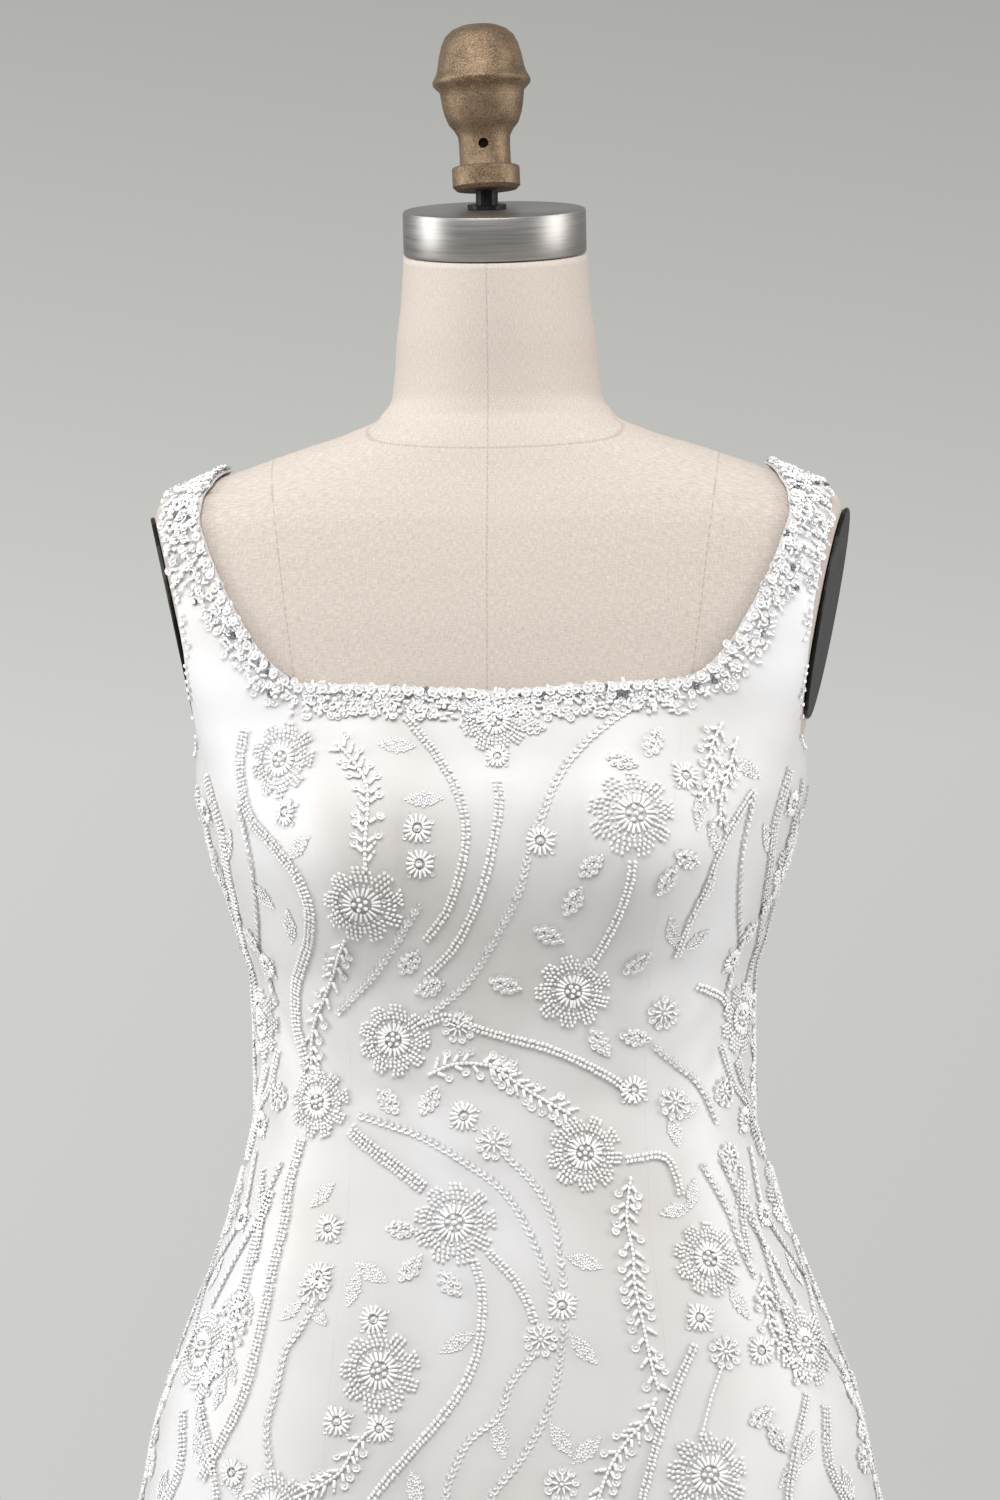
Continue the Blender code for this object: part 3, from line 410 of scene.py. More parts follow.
creases = (
    # From under each bust down to the waist at the sides
    Crease(-58, 1.118, -30, 1.040, 0.010, 0.0085, -0.0016),
    Crease(-63, 1.092, -38, 1.012, 0.008, 0.0080, 0.0012),
    Crease(-70, 1.066, -50, 1.000, 0.006, 0.0070, -0.0013),
    Crease(60, 1.112, 36, 1.046, -0.010, 0.0085, -0.0015),
    Crease(67, 1.086, 46, 1.016, -0.008, 0.0075, 0.0011),
    Crease(74, 1.058, 58, 0.996, -0.005, 0.0070, -0.0012),
    # Slack across the waist
    Crease(-46, 0.998, -8, 0.986, -0.006, 0.0080, -0.0010),
    Crease(-30, 0.972, 14, 0.979, 0.006, 0.0090, 0.0008),
    Crease(12, 0.992, 52, 0.984, -0.005, 0.0080, -0.0011),
    Crease(24, 0.964, 66, 0.976, 0.006, 0.0080, 0.0008),
    Crease(-92, 0.996, -62, 0.976, 0.005, 0.0075, -0.0011),
    Crease(94, 0.990, 64, 0.972, -0.005, 0.0075, -0.0010),
    # Long soft flutes from the hip down
    Crease(-74, 0.925, -66, 0.545, 0.010, 0.0120, 0.0022),
    Crease(-58, 0.900, -50, 0.545, -0.008, 0.0130, -0.0020),
    Crease(-40, 0.870, -33, 0.545, 0.006, 0.0120, 0.0015),
    Crease(-20, 0.850, -15, 0.545, 0.008, 0.0140, -0.0016),
    Crease(4, 0.860, 6, 0.545, -0.006, 0.0140, 0.0015),
    Crease(24, 0.845, 21, 0.545, 0.006, 0.0130, -0.0016),
    Crease(43, 0.885, 38, 0.545, -0.008, 0.0120, 0.0017),
    Crease(60, 0.915, 55, 0.545, 0.010, 0.0130, -0.0020),
    Crease(77, 0.930, 73, 0.545, -0.008, 0.0120, 0.0019),
    # Round the back
    Crease(104, 0.900, 100, 0.545, 0.008, 0.0130, -0.0018),
    Crease(122, 0.880, 120, 0.545, -0.008, 0.0120, 0.0016),
    Crease(144, 0.890, 141, 0.545, 0.006, 0.0130, -0.0017),
    Crease(164, 0.860, 163, 0.545, -0.006, 0.0120, 0.0014),
    Crease(-106, 0.895, -102, 0.545, -0.008, 0.0130, -0.0018),
    Crease(-126, 0.885, -123, 0.545, 0.008, 0.0120, 0.0017),
    Crease(-147, 0.875, -144, 0.545, -0.006, 0.0130, -0.0015),
    Crease(-166, 0.865, -164, 0.545, 0.006, 0.0120, 0.0014),
    Crease(118, 1.100, 142, 1.030, 0.008, 0.0085, -0.0014),
    Crease(-120, 1.106, -144, 1.036, -0.008, 0.0085, -0.0014),
    Crease(126, 1.000, 166, 0.990, -0.006, 0.0080, -0.0011),
    Crease(-128, 0.996, -168, 0.984, 0.006, 0.0080, -0.0010),
)

chartRadius = 0.150


def creaseHeights(points):
    # How far the cloth stands out of its plain form at each point.
    turn = np.arctan2(points[:, 0], -points[:, 1]) * chartRadius
    high = points[:, 2]
    total = np.zeros(len(points))
    for crease in creases:
        start = np.array([math.radians(crease.turn) * chartRadius, crease.height])
        end = np.array([math.radians(crease.toTurn) * chartRadius, crease.toHeight])
        length = np.linalg.norm(end - start)
        along = (end - start) / length
        for wrap in (-1, 0, 1):
            across = turn + wrap * math.tau * chartRadius - start[0]
            up = high - start[1]
            share = (across * along[0] + up * along[1]) / length
            bow = crease.bend * np.sin(math.pi * np.clip(share, 0.0, 1.0))
            away = across * along[1] - up * along[0] - bow
            foot = 1.0 if crease.toHeight < 0.55 else (1.0 - share) * 3.0
            fade = np.clip(np.minimum(share * 3.0, foot), 0.0, 1.0)
            fade = fade * fade * (3.0 - 2.0 * fade)
            total += crease.depth * fade * np.exp(-(away / crease.halfWidth) ** 2)
    return total


def clothPoints(points, lift=0.0):
    # The outer side of the cloth over the given points, with its creases, and its direction there.
    base = ontoDress(points)
    normals = outwardNormals(base)
    return base + normals * (shape["wall"] + creaseHeights(base) + lift)[:, None], normals


# Mesh helpers

def gridFaces(rows, columns, closed=False):
    cells = columns if closed else columns - 1
    row, cell = np.meshgrid(np.arange(rows - 1), np.arange(cells), indexing="ij")
    low = (row * columns + cell).ravel()
    following = (row * columns + (cell + 1) % columns).ravel()
    return np.stack([low, following, following + columns, low + columns], axis=1)


def makeMesh(name, points, faces):
    mesh = bpy.data.meshes.new(name)
    mesh.from_pydata(np.asarray(points).tolist(), [], [list(map(int, face)) for face in faces])
    mesh.validate()
    return mesh


def addObject(name, data):
    thing = bpy.data.objects.new(name, data)
    bpy.context.scene.collection.objects.link(thing)
    return thing


def applyModifier(thing, modifier):
    # Puts the modifier's result in place of the mesh.
    depsgraph = bpy.context.evaluated_depsgraph_get()
    result = bpy.data.meshes.new_from_object(thing.evaluated_get(depsgraph))
    thing.modifiers.remove(modifier)
    thing.data = result
    return result


def makeObject(name, mesh, material, body=formBodyName):
    thing = addObject(name, mesh)
    mesh.materials.clear()
    mesh.materials.append(material)
    mesh.shade_smooth()
    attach(thing, body)
    return thing


def joinGrids(grids):
    # One set of points and faces from grids that share edges, each with its own way round.
    points = np.concatenate([grid.reshape(-1, 3) for grid in grids])
    faces = []
    start = 0
    for grid in grids:
        faces.append(gridFaces(*grid.shape[:2]) + start)
        start += grid.shape[0] * grid.shape[1]
    faces = np.concatenate(faces)
    rounded = np.round(points * 20000.0).astype(int)
    _, kept, places = np.unique(rounded, axis=0, return_index=True, return_inverse=True)
    return points[kept], places.ravel()[faces]


def mirrored(grid):
    # The same grid on the other side, with its columns reversed so that it faces the same way.
    return (grid * (-1.0, 1.0, 1.0))[:, ::-1]


def addUv(mesh, across, up):
    layer = mesh.uv_layers.new(name="weave")
    corners = np.zeros(len(mesh.loops), dtype=int)
    mesh.loops.foreach_get("vertex_index", corners)
    layer.data.foreach_set("uv", np.stack([across[corners], up[corners]], axis=1).ravel())


def makePanel(name, grids, material):
    points, faces = joinGrids(grids)
    surface, _ = clothPoints(points)
    mesh = makeMesh(name + "_shell", surface, faces)
    turn = np.arctan2(points[:, 0], -points[:, 1])
    if name.startswith("back"):
        turn = turn % math.tau
    addUv(mesh, turn * chartRadius, points[:, 2])
    panel = makeObject(name + "_shell", mesh, material)
    wall = panel.modifiers.new("wall", "SOLIDIFY")
    wall.thickness = clothLook["shellWall"]
    wall.offset = -1.0
    walled = applyModifier(panel, wall)
    walled.set_sharp_from_angle(angle=math.radians(45))
    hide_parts(name)
    return panel


# Materials

def newMaterial(name):
    material = bpy.data.materials.new(name)
    material.use_nodes = True
    tree = material.node_tree
    return material, tree, tree.nodes["Principled BSDF"]


def addNode(tree, kind, **settings):
    node = tree.nodes.new(kind)
    for setting, value in settings.items():
        setattr(node, setting, value)
    return node


def link(tree, source, target):
    tree.links.new(source, target)


def rgb(red, green, blue):
    # Linear colour from the three parts of a screen colour.
    parts = [value / 255.0 for value in (red, green, blue)]
    return [part / 12.92 if part <= 0.04045 else ((part + 0.055) / 1.055) ** 2.4 for part in parts] + [1.0]


def mathNode(tree, operation, first, second=None):
    node = addNode(tree, "ShaderNodeMath", operation=operation)
    for socket, value in zip(node.inputs, (first, second)):
        if value is None:
            continue
        if isinstance(value, (int, float)):
            socket.default_value = value
        else:
            link(tree, value, socket)
    return node.outputs[0]


def noiseNode(tree, vector, scale, detail=2.0, roughness=0.5):
    node = addNode(tree, "ShaderNodeTexNoise")
    link(tree, vector, node.inputs["Vector"])
    node.inputs["Scale"].default_value = scale
    node.inputs["Detail"].default_value = detail
    node.inputs["Roughness"].default_value = roughness
    return node.outputs["Fac"]


def stretched(tree, vector, scale):
    node = addNode(tree, "ShaderNodeMapping")
    link(tree, vector, node.inputs["Vector"])
    node.inputs["Scale"].default_value = scale
    return node.outputs["Vector"]


def mixColours(tree, share, first, second):
    node = addNode(tree, "ShaderNodeMix", data_type="RGBA")
    if isinstance(share, (int, float)):
        node.inputs["Factor"].default_value = share
    else:
        link(tree, share, node.inputs["Factor"])
    for socket, value in ((node.inputs[6], first), (node.inputs[7], second)):
        if isinstance(value, (list, tuple)):
            socket.default_value = value
        else:
            link(tree, value, socket)
    return node.outputs[2]


def rampValue(tree, value, low, high, start=0.0, end=1.0):
    node = addNode(tree, "ShaderNodeMapRange")
    link(tree, value, node.inputs["Value"])
    node.inputs["From Min"].default_value = low
    node.inputs["From Max"].default_value = high
    node.inputs["To Min"].default_value = start
    node.inputs["To Max"].default_value = end
    return node.outputs["Result"]


def bumpNode(tree, height, strength, distance):
    node = addNode(tree, "ShaderNodeBump")
    link(tree, height, node.inputs["Height"])
    node.inputs["Strength"].default_value = strength
    node.inputs["Distance"].default_value = distance
    return node.outputs["Normal"]


clothLook = {
    "shellWall": 0.0011,
    "seamGap": 0.00002,
    "light": (218, 218, 219),
    "shade": (198, 194, 189),
    "roughness": 0.42,
    "netPitch": 0.0016,
    "net": (196, 192, 188),
}


def satinMaterial():
    # Satin under fine net: a soft shine, with the net's slant lines catching in patches.
    material, tree, shader = newMaterial("beadedSatin")
    weave = addNode(tree, "ShaderNodeUVMap", uv_map="weave").outputs["UV"]
    patches = noiseNode(tree, stretched(tree, weave, (9.0, 6.0, 1.0)), 1.0, 2.0)
    netLines = addNode(tree, "ShaderNodeTexWave", wave_type="BANDS", bands_direction="DIAGONAL")
    link(tree, stretched(tree, weave, (1.0, -1.6, 1.0)), netLines.inputs["Vector"])
    netLines.inputs["Scale"].default_value = 0.31 / clothLook["netPitch"]
    netLines.inputs["Distortion"].default_value = 0.6
    netShare = mathNode(tree, "MULTIPLY", netLines.outputs["Fac"], rampValue(tree, patches, 0.45, 0.7))
    # Painted light and shade: random patches move the satin from its lit colour towards its shaded colour.
    amount = rampValue(tree, patches, 0.3, 0.75)
    base = mixColours(tree, amount, rgb(*clothLook["light"]), rgb(*clothLook["shade"]))
    netColour = mixColours(tree, mathNode(tree, "MULTIPLY", netShare, 0.25), base, rgb(*clothLook["net"]))
    link(tree, netColour, shader.inputs["Base Color"])
    link(tree, bumpNode(tree, netShare, 0.15, 0.0002), shader.inputs["Normal"])
    shader.inputs["Roughness"].default_value = clothLook["roughness"]
    shader.inputs["Sheen Weight"].default_value = 0.25
    shader.inputs["Sheen Roughness"].default_value = 0.35
    return material


linenLook = {
    "thread": (179, 169, 159),
    "light": (203, 193, 184),
    # The seam's darker colour: its thread, with painted shade of the groove.
    "seam": (132, 118, 102),
    "seamWidth": 0.0006,
    "stitch": 0.0030,
}


def linenMaterial():
    # Plain linen: threads both ways with slubs, and the sunk seams of the cover, painted darker in their
    # grooves.
    material, tree, shader = newMaterial("linenCover")
    weave = addNode(tree, "ShaderNodeUVMap", uv_map="weave").outputs["UV"]
    warp = noiseNode(tree, stretched(tree, weave, (1700.0, 260.0, 1.0)), 1.0, 1.0)
    weft = noiseNode(tree, stretched(tree, weave, (260.0, 1700.0, 1.0)), 1.0, 1.0)
    threads = mathNode(tree, "ADD", warp, weft)
    slubs = rampValue(tree, threads, 0.7, 1.3)
    colour = mixColours(tree, slubs, rgb(*linenLook["thread"]), rgb(*linenLook["light"]))
    grooves = None
    for seam in ("centreSeam", "princessSeam", "neckSeam"):
        away = addNode(tree, "ShaderNodeAttribute", attribute_name=seam).outputs["Fac"]
        groove = rampValue(tree, mathNode(tree, "ABSOLUTE", away), 0.0, linenLook["seamWidth"], 1.0, 0.0)
        grooves = groove if grooves is None else mathNode(tree, "MAXIMUM", grooves, groove)
    # The seam shows as a row of small stitches, painted darker: partly the stitches' own thread, partly
    # painted shade in the groove.
    level = addNode(tree, "ShaderNodeSeparateXYZ")
    link(tree, weave, level.inputs[0])
    along = mathNode(tree, "ADD", level.outputs["X"], level.outputs["Y"])
    stitch = mathNode(tree, "SINE", mathNode(tree, "MULTIPLY", along, math.tau / linenLook["stitch"]))
    grooves = mathNode(tree, "MULTIPLY", grooves, rampValue(tree, stitch, -0.5, 0.5, 0.25, 1.0))
    seamThreadAndShade = mixColours(tree, mathNode(tree, "MULTIPLY", grooves, 0.5), colour, rgb(*linenLook["seam"]))
    link(tree, seamThreadAndShade, shader.inputs["Base Color"])
    height = mathNode(tree, "SUBTRACT", mathNode(tree, "MULTIPLY", threads, 0.05), grooves)
    link(tree, bumpNode(tree, height, 0.4, 0.0005), shader.inputs["Normal"])
    shader.inputs["Roughness"].default_value = 0.85
    shader.inputs["Specular IOR Level"].default_value = 0.25
    return material


def plainMaterial(name, colour, roughness, metallic=0.0, grain=None):
    # One colour with a fine uneven grain on Object coordinates.
    material, tree, shader = newMaterial(name)
    place = addNode(tree, "ShaderNodeTexCoord").outputs["Object"]
    size, depth = grain or (220.0, 0.06)
    unevenness = noiseNode(tree, place, size, 3.0)
    darker = [value * (1.0 - 2.5 * depth) for value in rgb(*colour)[:3]] + [1.0]
    base = mixColours(tree, rampValue(tree, unevenness, 0.3, 0.7), darker, rgb(*colour))
    gloss = rampValue(tree, unevenness, 0.2, 0.8, roughness * 0.85, roughness * 1.15)
    link(tree, base, shader.inputs["Base Color"])
    link(tree, gloss, shader.inputs["Roughness"])
    shader.inputs["Metallic"].default_value = metallic
    return material


def brushedMaterial(name, colour, roughness, strokes):
    # Brushed metal: fine strokes drawn out along one way of the object.
    material, tree, shader = newMaterial(name)
    place = addNode(tree, "ShaderNodeTexCoord").outputs["Object"]
    lines = noiseNode(tree, stretched(tree, place, strokes), 1.0, 3.0)
    darker = [value * 0.72 for value in rgb(*colour)[:3]] + [1.0]
    base = mixColours(tree, rampValue(tree, lines, 0.3, 0.7), darker, rgb(*colour))
    link(tree, base, shader.inputs["Base Color"])
    link(tree, rampValue(tree, lines, 0.2, 0.8, roughness * 0.8, roughness * 1.3), shader.inputs["Roughness"])
    link(tree, bumpNode(tree, lines, 0.12, 0.0003), shader.inputs["Normal"])
    shader.inputs["Metallic"].default_value = 1.0
    return material


# Linen form

formLook = {
    "columns": 108,
    "trunkRows": 64,
    "shoulderRows": 36,
    "neckRows": 24,
    "trunkTop": 1.300,
    "shoulderTop": 1.365,
    "centreSeam": -0.0025,
    "princessSeam": (0.1055, 1.2266, 0.13),
    "neckSeam": (1.359, 0.37),
}


def formRing(height):
    columns = formLook["columns"]
    angles = np.linspace(0.0, math.tau, columns, endpoint=False)
    centre = float(sectionAt(np.array([height]), formSections)[4][0])
    directions = np.stack([np.sin(angles), -np.cos(angles), np.zeros(columns)], axis=1)
    starts = np.zeros_like(directions) + (0.0, centre, height)
    ring = starts + directions * formDistance(starts, directions)[:, None]
    # The neck leans its rings forward towards the cap.
    start = shape["neckTiltStart"]
    lean = np.clip((height - start) / (shape["neckTop"] - start), 0.0, 1.0)
    ring[:, 2] += math.tan(shape["neckTilt"]) * lean * (ring[:, 1] - centre)
    return ring


def makeForm():
    trunkTop, shoulderTop = formLook["trunkTop"], formLook["shoulderTop"]
    trunk = np.linspace(shape["formFoot"], trunkTop, formLook["trunkRows"])
    shoulders = np.linspace(trunkTop, shoulderTop, formLook["shoulderRows"])[1:]
    neck = np.linspace(shoulderTop, shape["neckTop"] - shape["pieceGap"], formLook["neckRows"])[1:]
    rings = np.array([formRing(height) for height in np.concatenate([trunk, shoulders, neck])])
    rows, columns = rings.shape[:2]
    faces = [list(reversed(range(columns)))]
    faces += gridFaces(rows, columns, closed=True).tolist()
    faces.append(list(range((rows - 1) * columns, rows * columns)))
    points = rings.reshape(-1, 3)
    mesh = makeMesh("form_body_linen", points, faces)
    angle = np.tile(np.linspace(0.0, math.tau, columns, endpoint=False), rows)
    addUv(mesh, np.abs(angle - math.pi) * chartRadius, points[:, 2])
    x, y, z = points.T
    princessX, princessZ, princessSlope = formLook["princessSeam"]
    neckHeight, neckSlope = formLook["neckSeam"]
    seams = {
        "centreSeam": x - formLook["centreSeam"],
        "princessSeam": np.abs(x) - princessX - (z - princessZ) * princessSlope,
        "neckSeam": z - neckHeight - neckSlope * y,
    }
    for seam, away in seams.items():
        mesh.attributes.new(seam, "FLOAT", "POINT").data.foreach_set("value", away)
    form = makeObject("form_body_linen", mesh, linenMaterial())
    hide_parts("form_body")
    return form


# Dress

def zipOpening(grid):
    # The centre back stands open along the zip.
    beside = grid[:, 0, 2] > shape["zipFoot"]
    return pullIn(grid, "first", np.where(beside, shape["zipHalfOpening"], clothLook["seamGap"]))


def makeDress(satin):
    gap = clothLook["seamGap"]
    centre = pullIn(centreGrid(-1), "second", gap)
    makePanel("front_center", [mirrored(centre), centre], satin)
    rows = cornerRow + fineRows["strap"]
    atSeam = np.where(np.arange(rows) <= fineRows["skirt"], gap, 0.0)
    atPrincess = np.where(np.arange(rows) < cornerRow, gap, 0.0)
    side = pullIn(pullIn(sideGrid(-1), "second", atSeam), "first", atPrincess)
    makePanel("side_front_right", [side], satin)
    makePanel("side_front_left", [mirrored(side)], satin)
    backCentre = zipOpening(centreGrid(1))
    backSide = pullIn(sideGrid(1), "second", atSeam)
    backGrids = [backCentre[:, ::-1], backSide[:, ::-1]]
    makePanel("back_right", backGrids, satin)
    makePanel("back_left", [mirrored(grid) for grid in backGrids], satin)


# Beadwork

beadLook = {
    "seed": 24,
    "size": 1.0,
    "seedLength": 0.0021,
    "seedRadius": 0.00092,
    "bugleLength": 0.0050,
    "bugleRadius": 0.00085,
    "sequinRadius": 0.00235,
    "pearlRadius": 0.0018,
    "stoneRadius": 0.0021,
    "lift": 0.0002,
    "flatRise": 0.0002,
    "neckFrom": 1.19,
}

beadKinds = ("seed", "bugle", "sequin", "silverSequin", "pearl", "stone")
chance = np.random.default_rng(beadLook["seed"])
sewn = []

Curve = namedtuple("Curve", "chart kind spots")
Motif = namedtuple("Motif", "chart kind across high turn size")


def lathe(profile, sides, closedEnds=True, openBelow=False):
    # Points and faces of a small round shape about its x axis, from (along, radius) rows.
    # One that lies on the cloth leaves out the five-sided tube's face against it.
    start = math.radians(18) if openBelow else 0.0
    hidden = 3 if openBelow else None
    rings = []
    for along, radius in profile:
        for step in range(sides):
            angle = start + math.tau * step / sides
            rings.append((along, radius * math.cos(angle), radius * math.sin(angle)))
    faces = []
    for row in range(len(profile) - 1):
        for step in range(sides):
            if step == hidden:
                continue
            low = row * sides
            following = (step + 1) % sides
            faces.append((low + step, low + following, low + sides + following, low + sides + step))
    if closedEnds:
        first = len(rings)
        rings += [(profile[0][0], 0.0, 0.0), (profile[-1][0], 0.0, 0.0)]
        top = (len(profile) - 1) * sides
        for step in range(sides):
            following = (step + 1) % sides
            faces.append((first, following, step))
            faces.append((first + 1, top + step, top + following))
    return rings, faces


def prototype(name, points, faces, paintedGlints, smooth=True):
    # The glint of each ring is painted light: where it is high the glass is painted bright as a highlight,
    # and where it is low it is painted darker as shade, for depth.
    mesh = makeMesh(name, points, faces)
    values = np.repeat(paintedGlints, len(points) // len(paintedGlints))
    values = np.concatenate([values, np.full(len(points) - len(values), paintedGlints[0])])
    mesh.attributes.new("glint", "FLOAT", "POINT").data.foreach_set("value", values)
    if smooth:
        mesh.shade_smooth()
    return bpy.data.objects.new(name, mesh)


def upright(points):
    # Turns a shape about x into one about z, resting on the cloth.
    return [(y, z, x) for x, y, z in points]


def makePrototypes():
    half = beadLook["seedLength"] / 2.0
    radius = beadLook["seedRadius"]
    seed = lathe([(-half, radius * 0.66), (0.0, radius * 1.04), (half, radius * 0.66)], 5, False, True)
    half = beadLook["bugleLength"] / 2.0
    radius = beadLook["bugleRadius"]
    rows = [(-half, radius * 0.8), (-half * 0.8, radius), (half * 0.8, radius), (half, radius * 0.8)]
    bugle = lathe(rows, 5, False, True)
    radius = beadLook["sequinRadius"]
    cup = [(0.00065, radius), (0.00010, radius * 0.6), (0.0, radius * 0.24)]
    points, faces = lathe(cup, 7, closedEnds=False)
    sequin = upright(points), faces
    radius = beadLook["pearlRadius"]
    rows = [(radius * -math.cos(angle), radius * math.sin(angle)) for angle in np.radians((32, 68, 108, 148))]
    pearl = lathe(rows, 6)
    radius = beadLook["stoneRadius"]
    facets = [(0.0, radius * 0.92), (radius * 0.25, radius), (radius * 0.62, radius * 0.58)]
    points, faces = lathe(facets, 6)
    stone = upright(points), faces
    # The last numbers give each ring's painted glint: 1 is painted bright as a highlight, 0 is painted dark
    # as shade.
    return {
        "seed": prototype("seedBead", *seed, (0.0, 1.0, 0.0)),
        "bugle": prototype("bugleBead", *bugle, (0.0, 1.0, 1.0, 0.0)),
        "sequin": prototype("sequinCup", *sequin, (1.0, 0.35, 0.0)),
        "silverSequin": prototype("silverCup", *sequin, (1.0, 0.35, 0.0)),
        "pearl": prototype("pearlBead", *pearl, (0.4, 0.8, 1.0, 1.0)),
        "stone": prototype("cutStone", *stone, (0.3, 0.0, 1.0), smooth=False),
    }


def beadMaterial(name, colour, paintedShade, roughness, metallic, coat):
    material, tree, shader = newMaterial(name)
    place = addNode(tree, "ShaderNodeTexCoord").outputs["Object"]
    patches = rampValue(tree, noiseNode(tree, place, 420.0, 1.0), 0.35, 0.65, 0.75, 1.0)
    glint = addNode(tree, "ShaderNodeAttribute", attribute_name="glint").outputs["Fac"]
    share = mathNode(tree, "MULTIPLY", glint, patches)
    # Painted light: the glint mixes the bead from its painted shade colour up to its bright colour.
    link(tree, mixColours(tree, share, rgb(*paintedShade), rgb(*colour)), shader.inputs["Base Color"])
    shader.inputs["Roughness"].default_value = roughness
    shader.inputs["Metallic"].default_value = metallic
    shader.inputs["Coat Weight"].default_value = coat
    shader.inputs["Coat Roughness"].default_value = 0.05
    return material


def sew(kind, place, along, size=(1.0, 1.0, 1.0), lift=0.0, lean=0.0):
    sewn.append((beadKinds.index(kind), *place, *along, *size, lift, lean))


def chartPoints(chart, spots):
    # Cloth points of a given chart: millimetres across and up, or degrees round on the sides.
    table = np.array(spots, dtype=float)
    heights = table[:, 1] / 1000.0
    if chart == "round":
        angles = np.radians(table[:, 0])
        level = np.minimum(heights, shape["fanHeight"])
        return ontoDress(np.stack([0.2 * np.sin(angles), -0.2 * np.cos(angles), level], axis=1))
    return atWidth(table[:, 0] / 1000.0, heights, -1 if chart == "front" else 1)


def tangentAxes(normals):
    across = unit(np.cross((0.0, 0.0, 1.0), normals))
    return across, np.cross(normals, across)


def softLine(points):
    # Close points of a soft curve through a few cloth points.
    padded = np.concatenate([[2 * points[0] - points[1]], points, [2 * points[-1] - points[-2]]])
    share = np.linspace(0.0, 1.0, 12, endpoint=False)[:, None]
    pieces = []
    for first, second, third, fourth in zip(padded, padded[1:], padded[2:], padded[3:]):
        pieces.append(
            0.5 * (2 * second + (third - first) * share
                   + (2 * first - 5 * second + 4 * third - fourth) * share ** 2
                   + (3 * second - first - 3 * third + fourth) * share ** 3)
        )
    return np.concatenate(pieces + [points[-1:]])


def lengthsAlong(points):
    return np.concatenate([[0.0], np.cumsum(np.linalg.norm(np.diff(points, axis=0), axis=1))])


def atMarks(marks, lengths, points):
    # The places at one or more distances along a line of points.
    return np.stack([np.interp(marks, lengths, points[:, axis]) for axis in range(3)], axis=-1)


def evenSteps(dense, step):
    lengths = lengthsAlong(dense)
    return atMarks(np.arange(0.0, lengths[-1], step), lengths, dense)


def clothPaths(curves):
    # Each curve as even steps along the cloth: places, ways and the cloth's directions.
    charts = [curve.chart for curve in curves]
    controls = {}
    for chart in sorted(set(charts)):
        chosen = [number for number, curve in enumerate(curves) if curve.chart == chart]
        together = chartPoints(chart, [spot for number in chosen for spot in curves[number].spots])
        start = 0
        for number in chosen:
            controls[number] = together[start:start + len(curves[number].spots)]
            start += len(curves[number].spots)
    lines = [softLine(controls[number]) for number in range(len(curves))]
    ends = np.cumsum([len(line) for line in lines])[:-1]
    lines = np.split(ontoDress(np.concatenate(lines)), ends)
    paths = [evenSteps(line, curveSteps[curve.kind]) for line, curve in zip(lines, curves)]
    ends = np.cumsum([len(path) for path in paths])[:-1]
    normals = np.split(outwardNormals(np.concatenate(paths)), ends)
    ways = [unit(np.gradient(path, axis=0)) for path in paths]
    return list(zip(paths, ways, normals))


sewLook = {
    "ribbonGap": 0.0025,
    "ribbonSlant": 0.55,
    "chainLean": -0.28,
    "fernReach": 0.0036,
    "fernTip": 0.0042,
}
curveSteps = {"ribbon2": 0.00225, "ribbon3": 0.00225, "chain": 0.0037, "line": 0.0026, "fern": 0.0025}


def sewRibbon(path, ways, normals, rows):
    # Two or three rows of short beads side by side, each bead laid a little slantwise.
    sides = np.cross(normals, ways)
    offsets = (np.arange(rows) - (rows - 1) / 2.0) * sewLook["ribbonGap"]
    for place, way, side in zip(path, ways, sides):
        for offset in offsets:
            slant = sewLook["ribbonSlant"] + chance.normal(0.0, 0.12)
            along = side * math.cos(slant) + way * math.sin(slant)
            jitter = way * chance.normal(0.0, 0.00022) + side * chance.normal(0.0, 0.00018)
            sew("seed", place + side * offset + jitter, along, (1.0, 1.0, 1.0))


def sewChain(path, ways):
    # Sequins that overlap like scales, each held by a bead.
    for place, way in zip(path, ways):
        size = chance.uniform(0.95, 1.1)
        lean = sewLook["chainLean"] + chance.normal(0.0, 0.08)
        sew("sequin", place, way, (size, size, 1.0), 0.0003, lean)
        sew("seed", place - way * 0.0009, way, (0.62, 0.72, 0.72), 0.0008)


def sewBeadLine(path, ways):
    for place, way in zip(path, ways):
        sew("seed", place, way, (1.1, 0.95, 0.95))


def sewFern(path, ways, normals):
    # A beaded stem with a bugle and a sequin sprung to each side in turn.
    sides = np.cross(normals, ways)
    for place, way in zip(path, ways):
        sew("seed", place, way, (1.1, 1.15, 1.15))
    gap = 2
    for number in range(1, len(path) - 1, gap):
        hand = 1.0 if (number // gap) % 2 else -1.0
        for turned in (hand, -hand) if chance.random() < 0.55 else (hand,):
            slant = chance.uniform(0.65, 0.95)
            along = sides[number] * turned * math.sin(slant) + ways[number] * math.cos(slant)
            reach = sewLook["fernReach"]
            sew("bugle", path[number] + along * reach, along, (0.85, 1.15, 1.15))
            tip = path[number] + along * (reach + sewLook["fernTip"])
            if chance.random() < 0.7:
                sew("sequin", tip, along, (1.0, 1.0, 1.0), 0.0003, chance.normal(0.0, 0.15))
                sew("seed", tip, along, (0.6, 0.6, 0.6), 0.0008)
            else:
                sew("seed", tip - along * 0.0008, along, (1.0, 0.9, 0.9))


def onCircle(kind, radius, angle, size, lift, turn=0.0):
    # One piece of a motif: kind, right, up, turn, size and lift, in millimetres about the middle.
    return kind, radius * math.cos(angle), radius * math.sin(angle), angle + turn, size, lift


